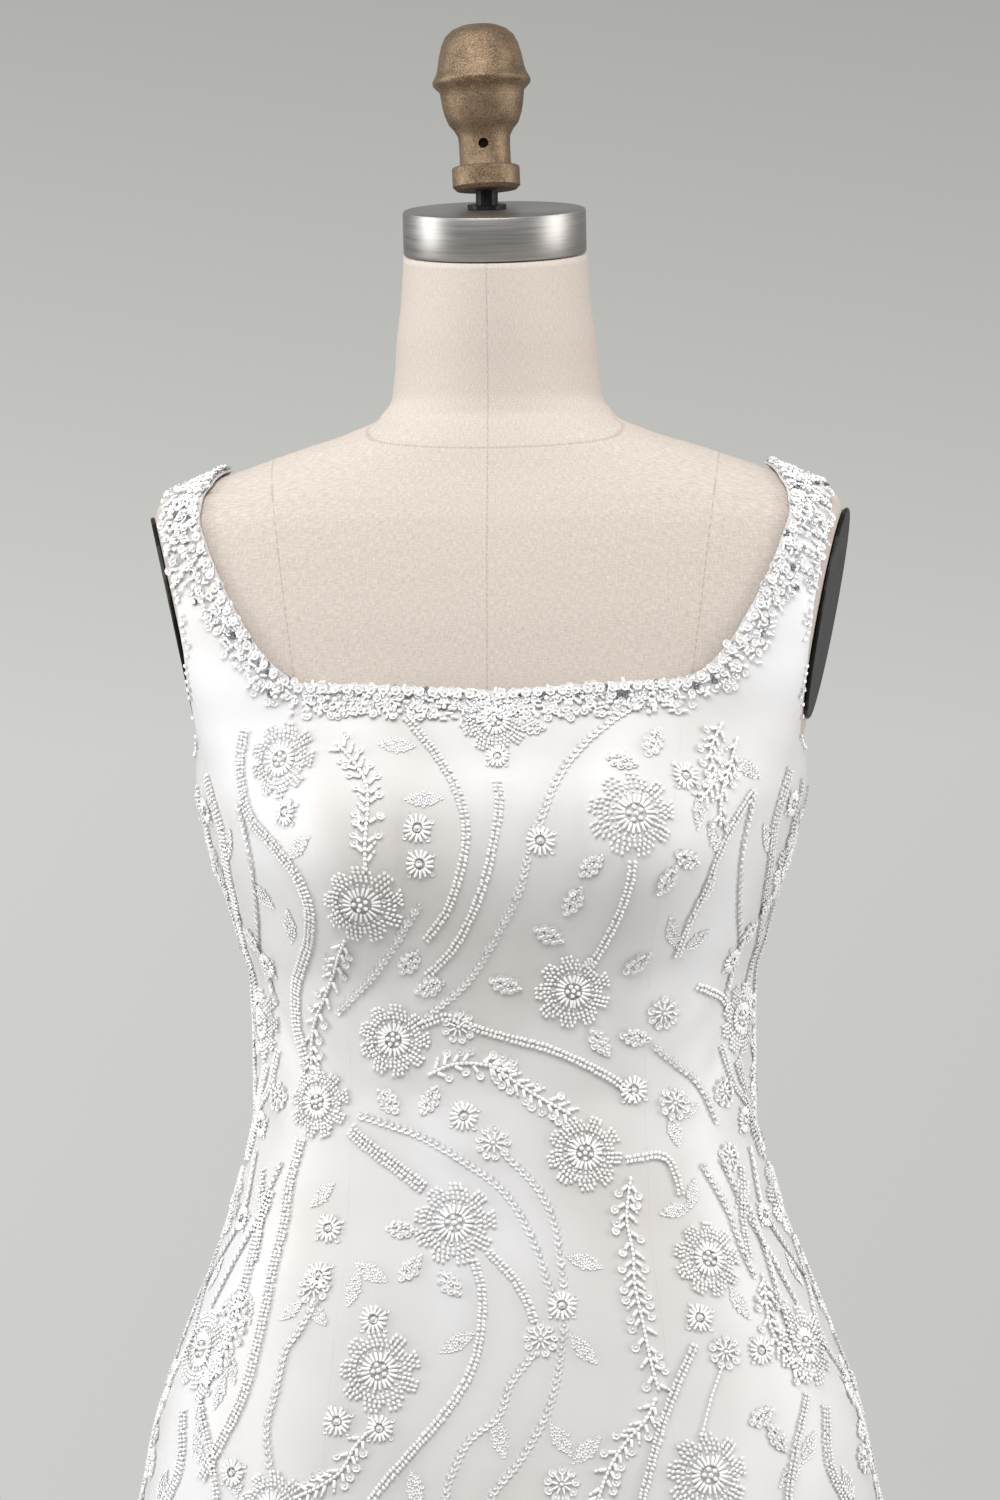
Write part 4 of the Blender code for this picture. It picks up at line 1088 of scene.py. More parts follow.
def rosette():
    parts = [("pearl", 0.0, 0.0, 0.0, 0.75, 0.2)]
    for step in range(5):
        angle = math.tau * step / 5 + 0.4
        parts.append(onCircle("pearl", 3.3, angle, 0.72, 0.1))
    for step in range(21):
        angle = math.tau * step / 21
        parts.append(onCircle("bugle", 7.4, angle, 0.98, 0.2))
        if step % 3 == 0:
            parts.append(onCircle("sequin", 10.9, angle, 0.62, 0.2))
        else:
            parts.append(onCircle("seed", 11.2, angle, 0.8, 0.2))
    for row, radius in enumerate((13.6, 15.9, 18.2, 20.5)):
        count = int(math.tau * radius / 2.55)
        for step in range(count):
            angle = math.tau * (step + 0.5 * (row % 2)) / count
            if row == 3 and math.cos(9.0 * angle) < -0.15:
                continue
            if row == 2 and math.cos(9.0 * angle) < -0.75:
                continue
            parts.append(onCircle("seed", radius, angle, 1.0, 0.0, 0.35))
    return parts


def daisy():
    parts = [("sequin", 0.0, 0.0, 0.0, 0.8, 0.4), ("seed", 0.0, 0.0, 0.0, 0.95, 1.1)]
    for step in range(15):
        angle = math.tau * step / 15
        parts.append(onCircle("bugle", 5.0, angle, 0.92, 0.1))
        if step % 4 == 1:
            parts.append(onCircle("sequin", 8.2, angle, 0.55, 0.2))
    return parts


def sequinFlower():
    parts = [("seed", 0.0, 0.0, 0.0, 1.0, 0.9)]
    for step in range(9):
        angle = math.tau * step / 9
        parts.append(onCircle("bugle", 3.6, angle, 0.72, 0.3))
        parts.append(onCircle("sequin", 7.2, angle, 0.95, 0.2))
        parts.append(onCircle("seed", 7.2, angle, 0.7, 0.9))
    return parts


def leaf():
    # An almond of tiny holed sequins.
    parts = []
    for column in range(-5, 6):
        along = column * 1.85
        width = 4.4 * (1.0 - (along / 10.6) ** 2)
        count = max(1, int(round(2.0 * width / 1.9)))
        for row in range(count):
            offset = (row - (count - 1) / 2.0) * 1.9
            parts.append(("sequin", along + 0.5 * (row % 2), offset, 0.3, 0.46, 0.1))
    return parts


# Where a cluster's pieces lie along and across its length, in millimetres
clusterSpots = (
    (-6.4, 0.0), (-3.4, 2.6), (-3.2, -2.4), (0.4, 3.4), (0.6, -3.2),
    (0.2, 0.2), (4.0, 2.6), (4.2, -2.0), (7.0, 0.4),
)


def pineCluster():
    parts = []
    for along, offset in clusterSpots:
        parts.append(("sequin", along, offset, 0.2, 0.92, 0.2))
        parts.append(("seed", along, offset, 0.9, 0.8, 0.9))
        parts.append(("seed", along + 1.6, offset * 0.55, 0.4, 0.8, 0.1))
    return parts


motifParts = {
    "rosette": rosette,
    "daisy": daisy,
    "sequinFlower": sequinFlower,
    "leaf": leaf,
    "cluster": pineCluster,
}


def sewMotifs(motifs):
    for chart in ("front", "back", "round"):
        chosen = [motif for motif in motifs if motif.chart == chart]
        if not chosen:
            continue
        centres = chartPoints(chart, [(motif.across, motif.high) for motif in chosen])
        normals = outwardNormals(centres)
        rights, ups = tangentAxes(normals)
        for motif, centre, right, up in zip(chosen, centres, rights, ups):
            turn = math.radians(motif.turn)
            first = right * math.cos(turn) + up * math.sin(turn)
            second = up * math.cos(turn) - right * math.sin(turn)
            for kind, across, high, angle, size, lift in motifParts[motif.kind]():
                across += chance.normal(0.0, 0.16)
                high += chance.normal(0.0, 0.16)
                place = centre + (first * across + second * high) * motif.size / 1000.0
                angle += chance.normal(0.0, 0.09)
                along = first * math.cos(angle) + second * math.sin(angle)
                lean = chance.normal(0.0, 0.14) if kind == "sequin" else 0.0
                sew(kind, place, along, (size * motif.size, size, size), lift / 1000.0, lean)


# The front, in millimetres from the centre line and up, with the turn in degrees and the size
frontMotifs = {
    "rosette": (
        (-110, 1174, 0, 0.95), (-68, 1100, 10), (74, 1144, 5, 1.02), (40, 1053, 20, 0.92),
        (-53, 1028, 0, 0.90), (-94, 994, 12, 0.88), (-22, 933, 6), (45, 968, 30, 0.92), (-61, 858, 18),
        (108, 911, 0, 0.92), (107, 803, 9, 1.02), (2, 1193, 0, 0.82), (-118, 786, 5, 0.95), (14, 756, 14),
        (-52, 716, 3), (82, 700, 22, 0.96), (6, 650, 8), (-98, 636, 15, 0.95), (58, 604, 0),
        (-34, 582, 12, 0.96), (122, 592, 7, 0.95),
    ),
    "daisy": (
        (-107, 1147), (-38, 1138), (-37, 1120, 9), (25, 1131, 4), (99, 1163, 8), (3, 1174, 3, 0.8),
        (-17, 988), (-93, 905, 14), (-88, 929, 4), (-64, 884, 7), (33, 891, 6), (103, 882), (135, 863, 5),
        (-61, 829, 9, 0.95), (-83, 832, 2), (70, 1000, 11), (-140, 803, 7), (60, 760), (-20, 700, 6),
        (30, 630), (100, 650, 9),
    ),
    "sequinFlower": (
        (-2, 974), (22, 874, 10), (116, 864), (32, 801, 6), (91, 992, 12), (121, 962, 4, 0.9),
        (86, 1040, 9), (-19, 1035), (-96, 899, 3), (-150, 760, 5), (48, 676), (-70, 666, 8), (-6, 610, 3),
        (136, 730, 5),
    ),
    "leaf": (
        (-35, 1153, 0), (-100, 1129, 35, 0.95), (-123, 1104, -45), (-108, 1088, 80), (-49, 1181, -5),
        (106, 1145, 80), (114, 1130, -55), (110, 1106, 75), (92, 1083, -65), (105, 1078, 35, 0.9),
        (132, 1167, -30), (-92, 946, 45, 0.9), (-133, 887, -65), (-142, 856, -60), (-148, 843, 80),
        (-108, 887, 40, 0.8), (-94, 886, -45, 0.8), (-66, 908, -30), (-75, 899, 75, 0.9), (-21, 873, 30),
        (-140, 799, -55, 1.1), (-43, 799, -80), (1, 825, -80, 1.05), (-160, 828, -75), (45, 913, -20),
        (44, 869, -50), (124, 888, -65), (32, 824, -60), (45, 818, 40), (91, 937, 10, 0.9),
        (100, 945, 70, 0.8), (91, 978, -80, 0.9), (98, 988, 20, 0.8), (150, 800, 40), (-40, 756, 35),
        (66, 736, -40), (-84, 690, 60), (112, 676, -70), (36, 700, 25), (-26, 640, -35), (84, 640, 50),
        (-70, 600, -60), (20, 580, 70), (-110, 586, 20), (-122, 700, -30),
    ),
    "cluster": (
        (-44, 1069, 50), (-34, 1056, 20), (51, 1118, 35), (41, 1100, 60), (28, 1083, -30), (89, 1110, 60),
        (99, 1121, -20), (73, 1067, 40), (5, 1057, -20), (-35, 996, 60), (-57, 996, -50), (-45, 910, 50),
        (-25, 903, -50), (-50, 930, -5), (135, 830, 20), (143, 819, -60), (71, 1028, -10), (53, 1026, -60),
        (67, 1171, -20), (83, 1180, 60), (-78, 1199, 30, 0.9), (20, 1190, -15, 0.9), (-20, 770, 60),
        (90, 770, 20), (34, 730, -60), (-90, 740, 10), (0, 690, 45), (-40, 660, -20), (90, 612, 35),
    ),
}

frontCurves = (
    ("ribbon2", (
        (-44, 1195), (-28, 1175), (-17, 1155), (-13, 1136), (-16, 1117), (-24, 1096), (-36, 1080),
    )),
    ("ribbon2", ((3, 1161), (4, 1149), (1, 1131), (-4, 1111), (-12, 1092), (-22, 1075), (-35, 1062))),
    ("ribbon2", ((72, 1120), (70, 1108), (64, 1092), (55, 1075), (48, 1066))),
    ("ribbon3", (
        (-131, 1190), (-134, 1173), (-132, 1156), (-126, 1142), (-114, 1130), (-101, 1114), (-95, 1096),
        (-98, 1078), (-104, 1058), (-106, 1036), (-102, 1014),
    )),
    ("ribbon2", (
        (-38, 1036), (-24, 1040), (-10, 1034), (6, 1029), (29, 1022), (46, 1014), (61, 1005), (72, 994),
    )),
    ("ribbon3", ((-76, 980), (-68, 973), (-54, 963), (-38, 951))),
    ("ribbon2", (
        (-12, 914), (-8, 898), (-9, 877), (-15, 856), (-29, 835), (-46, 816), (-67, 791), (-84, 762),
        (-90, 736),
    )),
    ("ribbon3", (
        (-104, 974), (-110, 952), (-113, 931), (-119, 906), (-123, 885), (-129, 860), (-136, 839),
        (-147, 817), (-158, 797),
    )),
    ("ribbon3", ((-122, 946), (-129, 926), (-135, 899), (-143, 877), (-151, 856), (-162, 836))),
    ("ribbon2", ((66, 964), (84, 965), (91, 955), (94, 943))),
    ("ribbon2", ((100, 868), (91, 849), (84, 831), (78, 811), (73, 793), (66, 767), (62, 744))),
    ("ribbon2", ((-4, 918), (9, 904), (16, 891), (19, 882))),
    ("ribbon2", ((104, 1053), (117, 1047), (122, 1041))),
    ("ribbon2", ((-30, 770), (-14, 742), (-8, 715), (-14, 690), (-30, 668), (-44, 640), (-48, 612))),
    ("ribbon2", ((98, 776), (110, 752), (114, 724), (108, 696), (98, 676))),
    ("ribbon2", ((40, 590), (30, 566), (26, 548))),
    ("chain", ((-38, 1099), (-50, 1081), (-62, 1064), (-74, 1051), (-84, 1041))),
    ("chain", ((18, 1122), (14, 1107), (7, 1093), (-4, 1074), (-15, 1058), (-29, 1046), (-38, 1039))),
    ("chain", ((86, 1206), (67, 1196), (48, 1181), (35, 1165), (26, 1145), (24, 1137))),
    ("chain", ((82, 1022), (93, 1012), (102, 1004), (108, 994), (114, 980))),
    ("chain", (
        (-70, 988), (-47, 981), (-30, 973), (-11, 961), (4, 949), (14, 934), (22, 916), (26, 903),
        (32, 892),
    )),
    ("chain", ((6, 967), (21, 951), (29, 934), (32, 917), (34, 900))),
    ("chain", ((17, 866), (6, 852), (0, 836), (-15, 824), (-22, 811), (-27, 797), (-26, 776), (-20, 760))),
    ("chain", ((34, 880), (30, 855), (24, 836), (11, 814), (-4, 795), (-6, 776))),
    ("chain", ((-95, 892), (-103, 878), (-111, 866), (-116, 846), (-121, 827), (-119, 806))),
    ("chain", ((106, 958), (119, 934), (127, 912), (133, 900))),
    ("chain", ((125, 948), (135, 928), (142, 906), (148, 884), (155, 862))),
    ("chain", ((20, 735), (30, 712), (44, 690), (50, 660), (46, 634), (52, 620))),
    ("chain", ((-66, 700), (-80, 676), (-92, 654))),
    ("chain", ((-130, 770), (-136, 742), (-134, 716), (-124, 690), (-118, 660))),
    ("chain", ((-20, 596), (-14, 570), (-16, 550))),
    ("line", ((114, 856), (108, 840), (103, 822))),
    ("fern", ((-65, 1118), (-65, 1136), (-64, 1149), (-65, 1161), (-72, 1173), (-81, 1183))),
    ("fern", ((-77, 1081), (-84, 1064), (-90, 1047), (-96, 1031), (-98, 1012))),
    ("fern", ((-5, 1016), (9, 1006), (22, 997), (38, 988))),
    ("fern", ((68, 954), (66, 934), (69, 917), (70, 900), (74, 881), (78, 861), (82, 846))),
    ("fern", ((80, 842), (75, 832), (64, 820), (56, 807), (50, 790), (48, 772))),
    ("fern", ((-68, 826), (-74, 819), (-81, 807), (-92, 799), (-104, 793))),
    ("fern", ((-34, 1010), (-22, 1015), (-8, 1015), (8, 1011))),
    ("fern", ((118, 1190), (112, 1176), (114, 1162), (106, 1150))),
    ("fern", ((126, 1182), (122, 1168), (117, 1152), (116, 1136))),
    ("fern", ((60, 728), (66, 704), (62, 682), (70, 660))),
    ("fern", ((-14, 646), (-6, 622), (4, 600), (2, 576))),
    ("fern", ((-60, 700), (-44, 690), (-32, 690))),
    ("ribbon2", ((94, 1070), (100, 1088), (108, 1104), (116, 1124), (126, 1142), (136, 1156))),
)

# The sides, in degrees round and millimetres up; the other side repeats them turned over
sideMotifs = (
    ("daisy", 76, 1148, 0, 0.95), ("daisy", 66, 1066, 3, 0.95), ("daisy", 72, 930, 5, 0.95),
    ("daisy", 82, 846, 1, 0.95), ("daisy", 74, 690, 2, 0.95), ("daisy", 84, 570, 4, 0.95),
    ("sequinFlower", 84, 1138, 0, 0.95), ("sequinFlower", 66, 996, 2, 0.9),
    ("sequinFlower", 78, 800, 5, 0.9), ("sequinFlower", 70, 628, 1, 0.9), ("leaf", 84, 1018, -50, 1.0),
    ("leaf", 66, 942, 40, 1.0), ("leaf", 72, 790, -70, 1.0), ("leaf", 88, 724, 60, 1.0),
    ("leaf", 78, 648, -60, 1.0), ("leaf", 68, 560, 50, 1.0), ("cluster", 76, 1094, 40, 1.0),
    ("cluster", 66, 886, -40, 1.0), ("cluster", 84, 760, 50, 1.0), ("cluster", 78, 556, 20, 1.0),
    ("rosette", 74, 1034, 0, 0.9), ("rosette", 84, 936, 8, 0.95), ("rosette", 70, 862, 0, 1.0),
    ("rosette", 92, 836, 12, 0.95), ("rosette", 82, 1116, 6, 0.9), ("rosette", 78, 742, 0, 1.0),
    ("rosette", 92, 664, 6, 1.0), ("rosette", 72, 600, 3, 1.0), ("daisy", 88, 1074, 0, 1.0),
    ("daisy", 74, 980, 4, 1.0), ("daisy", 86, 882, 7, 1.0), ("daisy", 66, 770, 3, 1.0),
    ("daisy", 88, 706, 2, 1.0), ("daisy", 66, 640, 5, 1.0), ("leaf", 80, 1076, 60, 1.0),
    ("leaf", 68, 1130, -60, 1.0), ("leaf", 90, 1000, 80, 1.0), ("leaf", 76, 900, -70, 1.0),
    ("leaf", 64, 812, 50, 1.0), ("leaf", 96, 774, -60, 1.0), ("leaf", 84, 780, 30, 1.0),
    ("leaf", 68, 696, -40, 1.0), ("leaf", 82, 620, 60, 1.0), ("leaf", 96, 596, -30, 1.0),
    ("cluster", 70, 1080, 40, 1.0), ("cluster", 94, 966, -50, 1.0), ("cluster", 80, 814, 10, 1.0),
    ("cluster", 72, 664, 60, 1.0),
)

sideCurves = (
    ("chain", ((62, 1150), (60, 1122), (63, 1096), (68, 1070), (66, 1044))),
    ("ribbon2", ((80, 1160), (79, 1132), (82, 1104), (84, 1080))),
    ("chain", ((74, 964), (72, 936), (77, 908), (84, 886))),
    ("ribbon2", ((68, 956), (64, 930), (62, 910))),
    ("ribbon3", ((70, 830), (68, 802), (72, 776), (78, 752))),
    ("chain", ((88, 860), (90, 838), (92, 816))),
    ("fern", ((78, 842), (84, 818), (82, 796), (88, 770))),
    ("chain", ((82, 744), (80, 716), (84, 690), (80, 664))),
    ("ribbon2", ((68, 664), (72, 634), (70, 606))),
    ("fern", ((80, 660), (78, 636), (84, 612), (82, 588))),
    ("chain", ((92, 640), (94, 610), (90, 584), (94, 556))),
    ("ribbon2", ((64, 576), (66, 560), (64, 546))),
    ("ribbon3", ((73, 1166), (70, 1136), (73, 1104), (78, 1070), (76, 1046))),
    ("ribbon2", ((88, 1156), (92, 1120), (88, 1090), (84, 1056), (88, 1022), (92, 990))),
    ("ribbon2", ((66, 1020), (70, 1000), (78, 984), (84, 964))),
    ("ribbon3", ((72, 1012), (78, 986), (80, 960))),
    ("ribbon2", ((84, 914), (80, 890), (76, 868), (80, 842), (86, 816), (86, 786), (80, 760))),
    ("ribbon2", ((96, 930), (100, 896), (98, 860))),
    ("ribbon2", ((66, 838), (60, 806), (58, 776), (62, 742), (66, 716))),
    ("ribbon2", ((84, 722), (88, 700), (92, 684))),
    ("ribbon2", ((74, 720), (70, 690), (74, 656), (76, 622))),
    ("ribbon2", ((90, 642), (86, 606), (88, 574), (84, 548))),
    ("chain", ((62, 960), (66, 930), (70, 900), (72, 882))),
    ("chain", ((92, 816), (96, 790), (94, 756), (98, 722))),
    ("chain", ((60, 712), (64, 680), (62, 648), (66, 612), (62, 580))),
    ("fern", ((84, 1050), (86, 1020), (82, 994), (84, 962))),
    ("fern", ((94, 912), (92, 890), (88, 862))),
    ("fern", ((64, 900), (62, 872), (66, 846))),
    ("fern", ((70, 592), (76, 570), (74, 550))),
)

# The back, in millimetres from the centre line and up; both halves have it, turned over
backMotifs = (
    ("rosette", 62, 1140, 0, 0.95), ("rosette", 96, 1054, 6, 0.9), ("rosette", 40, 1032, 3, 0.9),
    ("rosette", 70, 946, 0, 0.95), ("rosette", 34, 866, 8, 1.0), ("rosette", 112, 872, 4, 1.0),
    ("rosette", 78, 780, 0, 1.0), ("rosette", 28, 712, 6, 1.0), ("rosette", 124, 716, 3, 1.0),
    ("rosette", 74, 632, 0, 1.0), ("rosette", 140, 606, 5, 1.0), ("rosette", 30, 588, 2, 0.95),
    ("daisy", 34, 1110, 0, 1.0), ("daisy", 92, 1110, 4, 1.0), ("daisy", 66, 1000, 2, 1.0),
    ("daisy", 36, 960, 6, 1.0), ("daisy", 100, 930, 3, 1.0), ("daisy", 76, 870, 5, 1.0),
    ("daisy", 28, 800, 2, 1.0), ("daisy", 112, 800, 7, 1.0), ("daisy", 66, 706, 4, 1.0),
    ("daisy", 108, 660, 1, 1.0), ("daisy", 34, 646, 3, 1.0), ("sequinFlower", 104, 1000, 0, 1.0),
    ("sequinFlower", 30, 912, 4, 1.0), ("sequinFlower", 60, 826, 2, 1.0),
    ("sequinFlower", 100, 746, 6, 1.0), ("sequinFlower", 52, 664, 3, 1.0), ("leaf", 40, 1176, 20, 1.0),
    ("leaf", 104, 1150, -50, 1.0), ("leaf", 70, 1076, 60, 1.0), ("leaf", 22, 1064, -70, 1.0),
    ("leaf", 110, 966, 40, 1.0), ("leaf", 46, 900, -40, 1.0), ("leaf", 90, 836, 60, 1.0),
    ("leaf", 136, 820, -60, 1.0), ("leaf", 50, 760, 30, 1.0), ("leaf", 140, 760, 70, 1.0),
    ("leaf", 94, 690, -45, 1.0), ("leaf", 24, 670, 80, 1.0), ("leaf", 110, 610, 35, 1.0),
    ("leaf", 52, 574, -50, 1.0), ("cluster", 84, 1180, 10, 1.0), ("cluster", 52, 1080, -60, 1.0),
    ("cluster", 92, 980, 50, 1.0), ("cluster", 126, 930, -30, 1.0), ("cluster", 54, 800, 60, 1.0),
    ("cluster", 100, 716, 20, 1.0), ("cluster", 58, 610, -20, 1.0),
)

backCurves = (
    ("ribbon2", ((62, 1116), (54, 1096), (44, 1074), (40, 1054))),
    ("ribbon2", ((110, 1182), (118, 1160), (120, 1136), (112, 1110), (104, 1082))),
    ("ribbon3", ((88, 1036), (80, 1010), (78, 986), (74, 968))),
    ("ribbon2", ((34, 1010), (26, 986), (24, 958), (30, 930))),
    ("ribbon2", ((64, 924), (56, 902), (44, 886))),
    ("ribbon2", ((90, 936), (104, 916), (112, 894))),
    ("ribbon2", ((34, 842), (36, 816), (46, 796), (60, 786))),
    ("ribbon3", ((116, 848), (112, 822), (98, 800), (90, 792))),
    ("ribbon2", ((70, 758), (58, 738), (44, 722))),
    ("ribbon2", ((126, 694), (124, 672), (110, 648), (90, 636))),
    ("ribbon2", ((28, 688), (30, 664), (46, 642), (60, 634))),
    ("ribbon2", ((72, 608), (66, 584), (68, 556))),
    ("chain", ((24, 1188), (30, 1160), (44, 1146))),
    ("chain", ((120, 1060), (118, 1030), (112, 1008))),
    ("chain", ((54, 966), (40, 976), (30, 1000))),
    ("chain", ((124, 856), (134, 830), (136, 800), (132, 770), (130, 738))),
    ("chain", ((22, 846), (16, 816), (20, 786), (26, 756), (28, 732))),
    ("chain", ((98, 772), (112, 752), (122, 738))),
    ("chain", ((140, 690), (146, 660), (142, 628))),
    ("chain", ((104, 630), (96, 604), (100, 576), (96, 550))),
    ("fern", ((76, 1158), (88, 1146), (100, 1130))),
    ("fern", ((24, 1130), (20, 1104), (24, 1080))),
    ("fern", ((112, 1036), (122, 1010), (124, 984))),
    ("fern", ((62, 930), (74, 906), (90, 890), (96, 866))),
    ("fern", ((20, 780), (26, 740), (22, 730))),
    ("fern", ((116, 700), (106, 684), (96, 666), (92, 644))),
)

# The first rows of the sides come again further round towards the back, a little lower
sideRepeat = {"degrees": 37, "down": 6, "above": 552, "curves": 12, "motifs": 20}


def flipped(spots):
    return tuple((-across, high) for across, high in spots)


def allCurves():
    curves = [Curve("front", kind, spots) for kind, spots in frontCurves]
    for kind, spots in sideCurves:
        curves += [Curve("round", kind, spots), Curve("round", kind, flipped(spots))]
    turn, down, above = sideRepeat["degrees"], sideRepeat["down"], sideRepeat["above"]
    for kind, spots in sideCurves[:sideRepeat["curves"]]:
        later = tuple((across + turn, high - down) for across, high in spots if high > above)
        curves += [Curve("round", kind, later), Curve("round", kind, flipped(later))]
    for kind, spots in backCurves:
        curves += [Curve("back", kind, spots), Curve("back", kind, flipped(spots))]
    return curves


def frontMotif(kind, across, high, turn=0.0, size=1.0):
    return Motif("front", kind, across, high, turn, size)


def allMotifs():
    motifs = []
    for kind, rows in frontMotifs.items():
        motifs += [frontMotif(kind, *row) for row in rows]
    later = tuple(
        (kind, across + sideRepeat["degrees"], high - sideRepeat["down"], turn, size)
        for kind, across, high, turn, size in sideMotifs[:sideRepeat["motifs"]]
    )
    for chart, rows in (("round", sideMotifs + later), ("back", backMotifs)):
        for kind, across, high, turn, size in rows:
            motifs.append(Motif(chart, kind, across, high, turn, size))
            motifs.append(Motif(chart, kind, -across, high, -turn, size))
    return motifs


def sewCurves(curves):
    for curve, (path, ways, normals) in zip(curves, clothPaths(curves)):
        if curve.kind.startswith("ribbon"):
            sewRibbon(path, ways, normals, int(curve.kind[-1]))
        elif curve.kind == "chain":
            sewChain(path, ways)
        elif curve.kind == "fern":
            sewFern(path, ways, normals)
        else:
            sewBeadLine(path, ways)


bandLook = {
    "width": 0.020,
    "rowGap": 0.0030,
    "step": 0.0032,
    "edge": 0.0026,
    "firstRow": 0.0016,
    "zipClear": 0.006,
    "strapFrom": 0.019,
    "strapStep": 0.0036,
    "strapStart": 1.262,
    "strapFade": 0.02,
    "armholeStep": 0.0042,
    "middle": (0.0, 0.0, 1.2),
}


def sewScattered(place, way, side, edgeShare):
    # One spot of the crowded band: sequins and stones near the edge, small beads further in.
    draw = chance.random()
    spot = place + way * chance.normal(0.0, 0.0007) + side * chance.normal(0.0, 0.0007)
    turn = chance.uniform(0.0, math.tau)
    along = way * math.cos(turn) + side * math.sin(turn)
    lean = chance.normal(0.0, 0.22)
    if draw < 0.05 + 0.04 * edgeShare:
        sew("silverSequin", spot, along, (1.0, 1.0, 1.0), chance.uniform(0.0002, 0.0010), lean)
        sew("seed", spot, along, (0.65, 0.65, 0.65), 0.0014)
    elif draw < 0.44:
        sew("sequin", spot, along, (1.0, 1.0, 1.0), chance.uniform(0.0002, 0.0010), lean)
        sew("seed", spot, along, (0.65, 0.65, 0.65), 0.0014)
    elif draw < 0.45 + 0.05 * edgeShare:
        sew("stone", spot, along, (0.9, 0.9, 0.9), 0.0004)
    elif draw < 0.60:
        sew("pearl", spot, along, (0.8, 0.8, 0.8), 0.0)
    elif draw < 0.80:
        sew("bugle", spot, along, (0.8, 0.9, 0.9), 0.0003)
    else:
        sew("seed", spot, along, (1.1, 1.1, 1.1), 0.0002)
        sew("seed", spot + way * 0.0016, along, (0.9, 0.9, 0.9), 0.0006)


def neckPath(facing, side):
    # From the centre of the neckline to its corner and up the inner strap edge.
    middle = centreGrid(facing)[-1]
    strap = innerEdge(facing)[cornerRow:]
    return np.concatenate([middle, strap]) * (side, 1.0, 1.0)


def sewNeckBand(facing, side):
    path = neckPath(facing, side)
    lengths = lengthsAlong(path)
    marks = np.arange(bandLook["step"] / 2.0, lengths[-1], bandLook["step"])
    if facing > 0:
        marks = marks[marks > bandLook["zipClear"]]
    line = atMarks(marks, lengths, path)
    ways = unit(np.gradient(line, axis=0))
    normals = outwardNormals(line)
    sides = np.cross(normals, ways) * (facing * side)
    rows = int(bandLook["width"] / bandLook["rowGap"])
    for number, (place, way, inward) in enumerate(zip(line, ways, sides)):
        if number % 2:
            edge = place + inward * bandLook["edge"]
            sew("sequin", edge, way, (1.15, 1.15, 1.0), 0.0016, chance.normal(0.0, 0.1))
            sew("pearl", edge, way, (0.45, 0.45, 0.45), 0.0022)
        for row in range(rows):
            offset = bandLook["firstRow"] + row * bandLook["rowGap"]
            if row == rows - 1 and chance.random() < 0.45:
                continue
            sewScattered(place + inward * offset, way, inward, 1.0 - row / (rows - 1.0))


def sewStrapTops(facing, side):
    # The whole width of a strap is beaded near the shoulder.
    grid = sideGrid(facing)[cornerRow:] * (side, 1.0, 1.0)
    step = bandLook["strapStep"]
    halfway = grid[:, grid.shape[1] // 2]
    lengths = lengthsAlong(halfway)
    mark = 0.0
    for edge, length, height in zip(grid, lengths, halfway[:, 2]):
        if length < mark:
            continue
        mark = length + step
        fullness = np.clip((height - bandLook["strapStart"]) / bandLook["strapFade"], 0.0, 1.0)
        if fullness <= 0.0:
            continue
        across = lengthsAlong(edge)
        for distance in np.arange(bandLook["strapFrom"], across[-1] - 0.001, step):
            if chance.random() > fullness:
                continue
            place = atMarks(distance, across, edge)
            way = unit(edge[-1] - edge[0])
            up = unit(np.cross(place - bandLook["middle"], way))
            sewScattered(place, way, up, 0.35)


def sewArmholeEdge(facing, side):
    # Loose beads and small sequins along the armhole, from just over the underarm.
    start = fineRows["skirt"] + 4
    edge = outerEdge(facing)[start:] * (side, 1.0, 1.0)
    inner = sideGrid(facing)[start:, -4] * (side, 1.0, 1.0)
    lengths = lengthsAlong(edge)
    for mark in np.arange(0.004, lengths[-1] - 0.02, bandLook["armholeStep"]):
        place = atMarks(mark, lengths, edge)
        inward = unit(atMarks(mark, lengths, inner) - place)
        way = unit(np.cross(inward, place - bandLook["middle"]))
        if chance.random() < 0.75:
            sew("seed", place + inward * chance.uniform(0.0016, 0.0045), way, (1.0, 0.9, 0.9))
        if chance.random() < 0.35:
            sew("sequin", place + inward * chance.uniform(0.002, 0.006), way, (0.7, 0.7, 1.0), 0.0003, 0.1)


def turnedFrames(along, normals, lean):
    # Quaternions that lay each bead along its way with its back on the cloth.
    first = unit(along - normals * np.sum(along * normals, axis=1, keepdims=True))
    second = np.cross(normals, first)
    cosine = np.cos(lean)[:, None]
    sine = np.sin(lean)[:, None]
    leaned = first * cosine + normals * sine
    third = normals * cosine - first * sine
    matrices = np.stack([leaned, second, third], axis=2)
    return np.array([Matrix(matrix.tolist()).to_quaternion()[:] for matrix in matrices])


